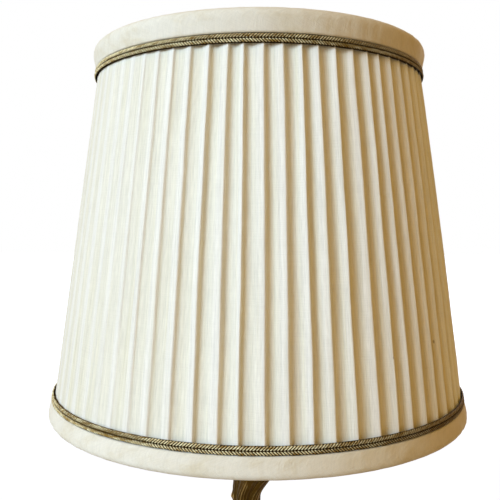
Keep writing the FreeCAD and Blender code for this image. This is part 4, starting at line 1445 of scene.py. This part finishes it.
@dataclass
class Stand:
    """The candlestick's swirled stem and its felt."""

    body: str = "stand"

    stem_columns: int = 260
    stem_rows: int = 300
    lobes: int = 5
    lobe_deep: float = 1.6 * MM
    half: float = 14 * MM
    sway: float = 5 * MM
    twist: float = math.radians(75)
    blur_share: float = 0.02
    vein_deep: float = 0.3 * MM
    vein_pitch: float = 46 * MM
    vein_mean: float = 0.6
    end_share: float = 1 / 14
    cast_wave: float = 0.08 * MM
    tip_level: float = 172 * MM
    tip_proud: float = 0.9 * MM
    tip_tall: float = 1.5 * MM
    tip_spread: float = 0.3
    tip_rub: float = 0.7
    vein_rub: float = 0.8
    valley_rub: float = 0.8
    lobe_rub: float = 0.15
    bore: float = 10.4 * MM

    felt_columns: int = 220
    felt_rows: int = 48
    felt_inner: float = 0.4 * MM
    felt_nap: float = 0.05 * MM
    nap_grain: float = 300
    felt_cut: float = 0.12 * MM
    cut_grain: float = 40

    # Up the stem: rise, half width, sway and turn, as shares of their whole
    stem_shares: ClassVar[tuple[tuple[float, float, float, float], ...]] = (
        (0, 0.66, 0, 0), (0.08, 0.6, 0, 0.05), (0.2, 0.86, 0.3, 0.15), (0.36, 1, 0.5, 0.3),
        (0.54, 0.8, -0.2, 0.5), (0.7, 0.54, -0.85, 0.65), (0.84, 0.5, -1, 0.8), (0.882, 0.545, -0.98, 0.85),
        (0.91, 0.59, -0.7, 0.88), (0.955, 0.76, -0.2, 0.94), (1, 0.95, 0, 1),
    )

    # Down the felt's cut edge: how far in from it, in millimetres, and how high, as a share of the thickness
    felt_edge: ClassVar[tuple[tuple[float, float], ...]] = (
        (1.0, 1.0), (0.1, 0.8), (0.0, 0.45), (0.3, 0.1), (1.2, 0.0),
    )

    def build(self) -> None:
        """Make the pieces that need a finer form than their solids."""
        self.stem()
        felt = self.felt()

    def stem_at(self, share: float) -> list[float]:
        """The stem's form at a level.

        Args:
            share: a share of the stem's height.

        Returns:
            Its half width, sway and turn there, as shares.
        """
        table = self.stem_shares
        number = next(k for k in range(1, len(table)) if table[k][0] >= share or k == len(table) - 1)
        start, end = table[number - 1], table[number]
        way = (share - start[0]) / (end[0] - start[0])
        return [blend(start[k], end[k], way) for k in (1, 2, 3)]

    def stem(self) -> bpy.types.Object:
        """The swirled stem, veined like a leaf, with a small curled tip at the neck.

        Returns:
            The piece.
        """
        low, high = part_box("stem")[0].z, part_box("stem")[1].z
        tall = high - low
        blur = self.blur_share

        def layout(along: float, share: float) -> Spot:
            """One point of the stem.

            Args:
                along: how far round it is.
                share: how far up.

            Returns:
                The spot.
            """
            angle = TAU * along
            around = [self.stem_at(min(1.0, max(0.0, share + off))) for off in (-blur, 0.0, blur)]
            half, sway, turn = (sum(values) / len(around) for values in zip(*around))
            radius = self.half * half - self.lobe_deep
            off = angle - self.twist * turn
            edge = lobed(radius, self.lobe_deep, self.lobes, off)
            crest = (edge - radius) / self.lobe_deep
            level = low + tall * share
            within = abs((off * self.lobes / TAU) % 1 - 0.5) * 2
            ends = ease(share / self.end_share) * ease((1 - share) / self.end_share)
            above_tip = (level - self.tip_level) / self.tip_tall
            beside_tip = (angle - math.pi) / self.tip_spread
            tip = math.exp(-above_tip ** 2 - beside_tip ** 2)
            raised = veined(within, (level - low) / self.vein_pitch) * ends
            edge += self.vein_deep * (raised - self.vein_mean) * ends + self.tip_proud * tip
            edge += self.cast_wave * wander(math.cos(angle) * 5, math.sin(angle) * 5, level * 160)
            place = polar(edge, angle, level) + Vector((self.sway * sway, 0, 0))
            rubbed = min(raised, self.vein_rub) * (self.valley_rub + self.lobe_rub * crest)
            return Spot(place, radius * angle, level, min(1.0, rubbed + tip * self.tip_rub))

        skin = Skin.laid("stem_cast", self.stem_columns, self.stem_rows, layout)
        ends = [edge for edge in skin.mesh.edges if edge.is_boundary]
        closed = bmesh.ops.extrude_edge_only(skin.mesh, edges=ends)["geom"]
        for vertex in (item for item in closed if isinstance(item, bmesh.types.BMVert)):
            inner = Vector((vertex.co.x, vertex.co.y, 0)).normalized() * self.bore / 2
            vertex.co = inner + Vector((0, 0, vertex.co.z))
        return skin.turned_outwards().piece(Slot.BRONZE, self.body, "stem")

    def felt(self) -> bpy.types.Object:
        """The felt disc, soft at its cut edge.

        Returns:
            The piece.
        """
        thick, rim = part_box("felt_pad")[1].z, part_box("felt_pad")[1].x
        inner = self.felt_inner
        edge = [(rim - inset * MM, thick * share) for inset, share in self.felt_edge]
        track = Track([(inner, thick), (rim / 2, thick), *edge, (rim / 2, 0), (inner, 0)])

        def layout(along: float, share: float) -> Spot:
            """One point of the disc's skin.

            Args:
                along: how far round it is.
                share: how far along its section, from the middle of its top.

            Returns:
                The spot.
            """
            angle = TAU * along
            radius, level = track.at(share)
            across, deep = radius * math.cos(angle), radius * math.sin(angle)
            nap = self.felt_nap * wander(across * self.nap_grain, deep * self.nap_grain, share * 9)
            ragged = wander(math.cos(angle) * self.cut_grain, math.sin(angle) * self.cut_grain)
            cut = self.felt_cut * (ragged - 1)
            level = min(thick, max(0.0, level + nap))
            return Spot(polar(radius + cut * ease(radius / rim), angle, level), radius * angle, level)

        skin = Skin.laid("felt_pad_disc", self.felt_columns, self.felt_rows, layout)
        bmesh.ops.holes_fill(skin.mesh, edges=[edge for edge in skin.mesh.edges if edge.is_boundary])
        return skin.turned_outwards().piece(Slot.FELT, self.body, "felt_pad")


@dataclass(frozen=True)
class Leafage:
    """How the leaves of one casting lie, and how finely its skin is divided."""

    node: str
    leaves: int
    grain: float
    vein_pitch: float
    vein_deep: float
    start: float = 0.0
    upward: float = 0.0
    clear: float = 0.0
    turns: tuple[tuple[float, float], ...] = ((0.0, 0.0), (1.0, 0.0))

    def swirl(self, rise: float) -> float:
        """How far the leaves have turned at a level.

        Args:
            rise: a share of the casting's height.

        Returns:
            The angle.
        """
        number = next((k for k in range(1, len(self.turns)) if self.turns[k][0] >= rise), len(self.turns) - 1)
        start, end = self.turns[number - 1], self.turns[number]
        return blend(start[1], end[1], (rise - start[0]) / (end[0] - start[0]))

    def within(self, angle: float, rise: float) -> float:
        """How far from the middle of its leaf a point is, 0 to 1 at the leaf's edge."""
        return abs(((angle - self.start - self.swirl(rise)) * self.leaves / TAU) % 1 - 0.5) * 2


@dataclass
class Castings:
    """The leafy bronze castings, with their veins cut into the outer skin."""

    body: str = "stand"
    passes: int = 5
    sharp_edge: float = math.radians(35)
    least_facing: float = 0.08
    ray_start: float = 0.1 * MM
    seat_fade: float = 1.6 * MM
    clear_fade: float = 3.0 * MM
    rim_fade: float = 1.0 * MM
    bush_clear: float = 1.0 * MM
    bush_fade: float = 2.0 * MM
    vein_rub: float = 0.95
    most_rub: float = 0.76
    edge_dulled: float = 0.15
    castings: tuple[Leafage, ...] = (
        Leafage("foot", 8, 1.2 * MM, 13 * MM, 0.65 * MM, start=math.radians(112.5), upward=1.0, turns=(
            (0, 0), (0.19, 0), (0.25, math.radians(2)), (0.42, math.radians(8)), (0.62, math.radians(20)),
            (0.76, math.radians(30)), (0.88, math.radians(36)), (1, math.radians(40)),
        )),
        Leafage("calyx", 8, 0.5 * MM, 5.5 * MM, 0.4 * MM),
        Leafage("drip_pan", 12, 0.9 * MM, 9 * MM, 0.3 * MM, clear=20.6 * MM),
    )

    def build(self, nodes: dict[str, bpy.types.Object]) -> None:
        """Cut the veins of each casting.

        Args:
            nodes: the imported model's nodes by name.
        """
        for leafage in self.castings:
            skin = Skin.copied(f"{leafage.node}_veined", nodes[leafage.node])
            self.divide(skin.mesh, leafage)
            self.cut(skin, leafage)
            skin.piece(Slot.BRONZE, self.body, leafage.node)

    def divide(self, mesh: bmesh.types.BMesh, leafage: Leafage) -> None:
        """Divide the outer skin until no edge is longer than the casting's grain.

        Args:
            mesh: the casting's mesh.
            leafage: how its leaves lie.
        """
        for edge in mesh.edges:
            edge.smooth = edge.calc_face_angle(0.0) < self.sharp_edge
        for _ in range(self.passes):
            mesh.normal_update()
            tree = BVHTree.FromBMesh(mesh)
            outer = {vertex for vertex in mesh.verts if self.exposed(vertex, tree, leafage)}
            longer = [
                edge for edge in mesh.edges
                if edge.calc_length() > leafage.grain and any(vertex in outer for vertex in edge.verts)
            ]
            if not longer:
                break
            bmesh.ops.subdivide_edges(mesh, edges=longer, cuts=1)
            bmesh.ops.triangulate(mesh, faces=[face for face in mesh.faces if len(face.verts) > 3])

    def exposed(self, vertex: bmesh.types.BMVert, tree: BVHTree, leafage: Leafage) -> bool:
        """Whether a point lies on the casting's outer skin.

        Args:
            vertex: the point.
            tree: the casting's faces, to look for one in front of the point.
            leafage: how the casting's leaves lie.

        Returns:
            Whether it does.
        """
        outwards = Vector((vertex.co.x, vertex.co.y, 0)).normalized()
        if leafage.clear:
            return Vector(vertex.co[:2]).length > leafage.clear
        if vertex.normal.dot(outwards + Vector((0, 0, leafage.upward))) < self.least_facing:
            return False
        return tree.ray_cast(vertex.co + vertex.normal * self.ray_start, vertex.normal)[0] is None

    def cut(self, skin: Skin, leafage: Leafage) -> None:
        """Cut the skin down between the veins, less and less towards the casting's seats.

        Args:
            skin: the casting's surface.
            leafage: how its leaves lie.
        """
        low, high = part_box(leafage.node)
        bush_low, bush_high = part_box("cord_bush")
        bush_level = (bush_low.z + bush_high.z) / 2
        bush = (bush_high - bush_low).x / 2 + self.bush_clear
        mesh = skin.mesh
        mesh.normal_update()
        tree = BVHTree.FromBMesh(mesh)
        moves = {}
        for vertex in mesh.verts:
            if not self.exposed(vertex, tree, leafage):
                continue
            across, deep, level = vertex.co
            radius = math.hypot(across, deep)
            within = leafage.within(math.atan2(deep, across), (level - low.z) / (high.z - low.z))
            raised = veined(within, (radius - level) / leafage.vein_pitch)
            fade = ease((level - low.z) / self.seat_fade) * ease((high.z - level) / self.seat_fade)
            if leafage.clear:
                seat, rim = (radius - leafage.clear) / self.clear_fade, (high.x - radius) / self.rim_fade
                fade = ease(seat) * ease(rim)
            if deep > 0:
                fade *= ease((math.hypot(across, level - bush_level) - bush) / self.bush_fade)
            rubbed = min(raised * self.vein_rub, self.most_rub) * (1 - self.edge_dulled * within)
            moves[vertex] = -vertex.normal * leafage.vein_deep * (1 - raised) * fade
            vertex[skin.height] = rubbed * fade
        for vertex, move in moves.items():
            vertex.co += move


@dataclass
class Fittings:
    """The lampholder's moulded thread, its fluted ring, and the bulb's rolled cap."""

    thread_fade: float = 1.0 * MM

    holder_thread: Thread = Thread(2.5 * MM, 0.8 * MM)
    holder_columns: int = 72
    holder_rows: int = 300
    holder_bore: float = 16.4 * MM
    holder_across: float = 27.4 * MM
    holder_bevel: float = 0.5 * MM
    skirt_across: float = 26.0 * MM
    skirt_long: float = 6.0 * MM
    flange_thick: float = 2.0 * MM
    wall_reach: float = 0.1 * MM

    flutes: int = 32
    flute_steps: int = 10
    flute_deep: float = 0.6 * MM
    ring_rows: int = 60
    ring_bore: float = 28.0 * MM
    ring_round: float = 1.0 * MM

    cap_thread: Thread = Thread(2.8 * MM, 0.6 * MM)
    cap_columns: int = 72
    cap_rows: int = 200
    cap_across: float = 13.5 * MM
    cap_wall: float = 0.4 * MM
    cap_flare: float = 3.0 * MM
    cap_plain: float = 2.2 * MM

    def build(self) -> None:
        """Make the three pieces."""
        self.holder_body()
        self.retaining_ring()
        self.bulb_cap()

    def holder_body(self) -> bpy.types.Object:
        """The holder's upper half: a flange on the candle and a thread above it.

        Returns:
            The piece.
        """
        low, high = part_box("holder_body")
        bore, across, skirt = self.holder_bore / 2, self.holder_across / 2, self.skirt_across / 2
        flange = low.z + self.skirt_long
        seat = flange + self.flange_thick
        bevel = self.holder_bevel
        track = Track([
            (bore, low.z), (bore, high.z), (across - bevel, high.z), (across, high.z - bevel),
            (across, seat), (high.x, seat), (high.x, flange), (skirt, flange), (skirt, low.z),
        ], closed=True, steps=1)

        def layout(along: float, share: float) -> Spot:
            """One point of the moulding.

            Args:
                along: how far round it is.
                share: how far along its section.

            Returns:
                The spot.
            """
            angle = TAU * along
            radius, level = track.at(share)
            threaded = ease((level - seat) / self.thread_fade) * ease((high.z - level) / self.thread_fade)
            if abs(radius - across) < self.wall_reach:
                radius -= self.holder_thread.cut(angle, level) * threaded
            return Spot(polar(radius, angle, level), along, level)

        skin = Skin.laid("holder_body_thread", self.holder_columns, self.holder_rows, layout)
        return skin.turned_outwards().piece(Slot.PHENOLIC, "stand", "holder_body")

    def retaining_ring(self) -> bpy.types.Object:
        """The ring that holds the carrier down, fluted for the fingers.

        Returns:
            The piece.
        """
        low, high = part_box("retaining_ring")
        bore, rim, bevel = self.ring_bore / 2, high.x, self.ring_round
        track = Track([
            (bore, low.z), (bore, high.z), (rim - bevel, high.z), (rim, high.z - bevel), (rim, low.z),
        ], closed=True, steps=1)

        def layout(along: float, share: float) -> Spot:
            """One point of the ring.

            Args:
                along: how far round it is.
                share: how far along its section.

            Returns:
                The spot.
            """
            angle = TAU * along
            radius, level = track.at(share)
            outer = ease((radius - bore) / (rim - bore) * 2 - 1)
            flute = self.flute_deep * (0.5 + 0.5 * math.cos(self.flutes * angle)) ** 2 * outer
            return Spot(polar(radius - flute, angle, level), along, level)

        skin = Skin.laid("retaining_ring_fluted", self.flutes * self.flute_steps, self.ring_rows, layout)
        return skin.turned_outwards().piece(Slot.PHENOLIC, "keeper", "retaining_ring")

    def bulb_cap(self) -> bpy.types.Object:
        """The bulb's cap, its thread rolled through the sheet, flared round the glass.

        Returns:
            The piece.
        """
        low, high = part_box("bulb_cap")
        outer = self.cap_across / 2
        inner = outer - self.cap_wall
        neck = high.z - self.cap_flare
        track = Track([
            (inner, low.z), (inner, neck), (high.x - self.cap_wall, high.z), (high.x, high.z), (outer, neck),
            (outer, low.z),
        ], closed=True, steps=1)

        def layout(along: float, share: float) -> Spot:
            """One point of the cap.

            Args:
                along: how far round it is.
                share: how far along its section.

            Returns:
                The spot.
            """
            angle = TAU * along
            radius, level = track.at(share)
            above, below = level - low.z - self.cap_plain, neck - self.cap_flare - level
            rolled = ease(above / self.thread_fade) * ease(below / self.thread_fade)
            radius -= self.cap_thread.cut(angle, level) * rolled
            return Spot(polar(radius, angle, level), along, level)

        skin = Skin.laid("bulb_cap_rolled", self.cap_columns, self.cap_rows, layout)
        return skin.turned_outwards().piece(Slot.CAP_METAL, "bulb", "bulb_cap")


# The studio


@dataclass(frozen=True)
class SoftLamp:
    """A square lamp of the studio."""

    name: str
    place: Place
    across: float
    power: float
    colour: Colour


@dataclass
class Studio:
    """A pale floor, soft lamps, a white surround and the camera."""

    camera_place: Place = (-3.86 * MM, -314.9 * MM, 309.7 * MM)
    camera_pitch: float = math.radians(2.42)
    camera_roll: float = 0.0037
    focal_pixels: float = 633.0
    frame_pixels: float = 500.0
    sensor: float = 36.0
    nearest: float = 10 * MM
    floor_across: float = 12.0
    floor_gap: float = 0.1 * MM
    floor_colour: Colour = (0.5, 0.45, 0.37)
    floor_glow: Colour = (0.66, 0.76, 0.9)
    glow_reach: tuple[float, float] = (0.5, 1.6)
    glow_rise: float = 0.6
    room_colour: Colour = (1.0, 0.59, 0.11)
    room_strength: float = 0.475
    lamp_aim: Place = (0, 0, 0.28)
    lamps: tuple[SoftLamp, ...] = (
        SoftLamp("key", (-1.1, -1.04, 0.82), 0.62, 16.5, (0.54, 0.752, 0.99)),
        SoftLamp("fill", (-1.25, -1.32, 1.0), 1.5, 14.2, (0.54, 0.752, 0.99)),
        SoftLamp("back", (0.7, 1.4, 0.9), 1.2, 7.0, (0.97, 0.98, 1.0)),
    )

    def build(self) -> None:
        """Set everything up."""
        self.floor()
        self.surround()
        for lamp in self.lamps:
            self.light(lamp)
        self.camera()
        bpy.context.scene.view_settings.view_transform = "Standard"

    def floor(self) -> None:
        """A wide pale floor that keeps the lamp's shadow."""
        mesh = bmesh.new()
        bmesh.ops.create_grid(mesh, x_segments=1, y_segments=1, size=self.floor_across / 2)
        bmesh.ops.translate(mesh, verts=mesh.verts, vec=(0, 0, -self.floor_gap))
        data = bpy.data.meshes.new("floor")
        mesh.to_mesh(data)
        mesh.free()
        material = bpy.data.materials.new("pale_floor")
        shader = Shader(material)
        diffuse = shader.node("ShaderNodeBsdfDiffuse", None, {"Color": self.floor_colour})
        away = shader.node("ShaderNodeVectorMath", {"operation": "LENGTH"}, {0: shader.body_place()})
        far = shader.number(away, "Value").eased(*self.glow_reach)
        inputs = {
            "Color": self.floor_glow,
            "Strength": shader.background_rays() * (1 + far * self.glow_rise),
        }
        glow = shader.node("ShaderNodeEmission", None, inputs)
        both = shader.node("ShaderNodeAddShader", None, {0: diffuse.outputs[0], 1: glow.outputs[0]})
        below = shader.node("ShaderNodeNewGeometry").outputs["Backfacing"]
        clear = shader.node("ShaderNodeBsdfTransparent")
        sides = shader.node("ShaderNodeMixShader", None, {0: below, 1: both.outputs[0], 2: clear.outputs[0]})
        shader.node("ShaderNodeOutputMaterial", None, {"Surface": sides.outputs[0]})
        data.materials.append(material)
        floor = bpy.data.objects.new("floor", data)
        bpy.context.scene.collection.objects.link(floor)

    def surround(self) -> None:
        """A white surround to the camera, glass and metal, and a soft even light to the rest."""
        world = bpy.data.worlds.new("surround")
        bpy.context.scene.world = world
        shader = Shader(world)
        seen = shader.background_rays()
        inputs = {
            "Color": shader.mix(seen, self.room_colour, (1.0, 1.0, 1.0)),
            "Strength": seen + (1 - seen) * self.room_strength,
        }
        background = shader.node("ShaderNodeBackground", None, inputs)
        shader.node("ShaderNodeOutputWorld", None, {"Surface": background.outputs[0]})

    def light(self, lamp: SoftLamp) -> None:
        """Set up one lamp, turned to the shade.

        Args:
            lamp: its place, width, power in watts and colour.
        """
        data = bpy.data.lights.new(lamp.name, "AREA")
        data.shape = "SQUARE"
        data.size = lamp.across
        data.energy = lamp.power
        data.color = lamp.colour
        made = bpy.data.objects.new(lamp.name, data)
        made.location = lamp.place
        away = Vector(self.lamp_aim) - Vector(lamp.place)
        made.rotation_euler = away.to_track_quat("-Z", "Y").to_euler()
        bpy.context.scene.collection.objects.link(made)

    def camera(self) -> None:
        """The camera where the photograph was taken from."""
        data = bpy.data.cameras.new("camera")
        data.sensor_width = self.sensor
        data.lens = self.sensor * self.focal_pixels / self.frame_pixels
        data.clip_start = self.nearest
        made = bpy.data.objects.new("camera", data)
        turn = Euler((math.pi / 2 - self.camera_pitch, 0, 0)).to_matrix()
        roll = Matrix.Rotation(self.camera_roll, 3, "Z")
        made.rotation_euler = (turn @ roll).to_euler()
        made.location = self.camera_place
        bpy.context.scene.collection.objects.link(made)
        bpy.context.scene.camera = made


def dress(frame: dict) -> None:
    """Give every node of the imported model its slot's finish.
    """
    for part in frame["record"]["subparts"]:
        node = frame["nodes"][part["node"]]
        finish = Slot.named(part["material_slot"]).finish
        node.data.materials.clear()
        node.data.materials.append(finish.material())


def main() -> None:
    """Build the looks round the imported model."""
    logging.basicConfig(level=logging.INFO, format="%(name)s: %(message)s")
    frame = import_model()
    dress(frame)
    Shade(Wall.from_frame()).build()
    Stand().build()
    Castings().build(frame["nodes"])
    Fittings().build()
    Studio().build()


if __name__ == "__main__":
    main()
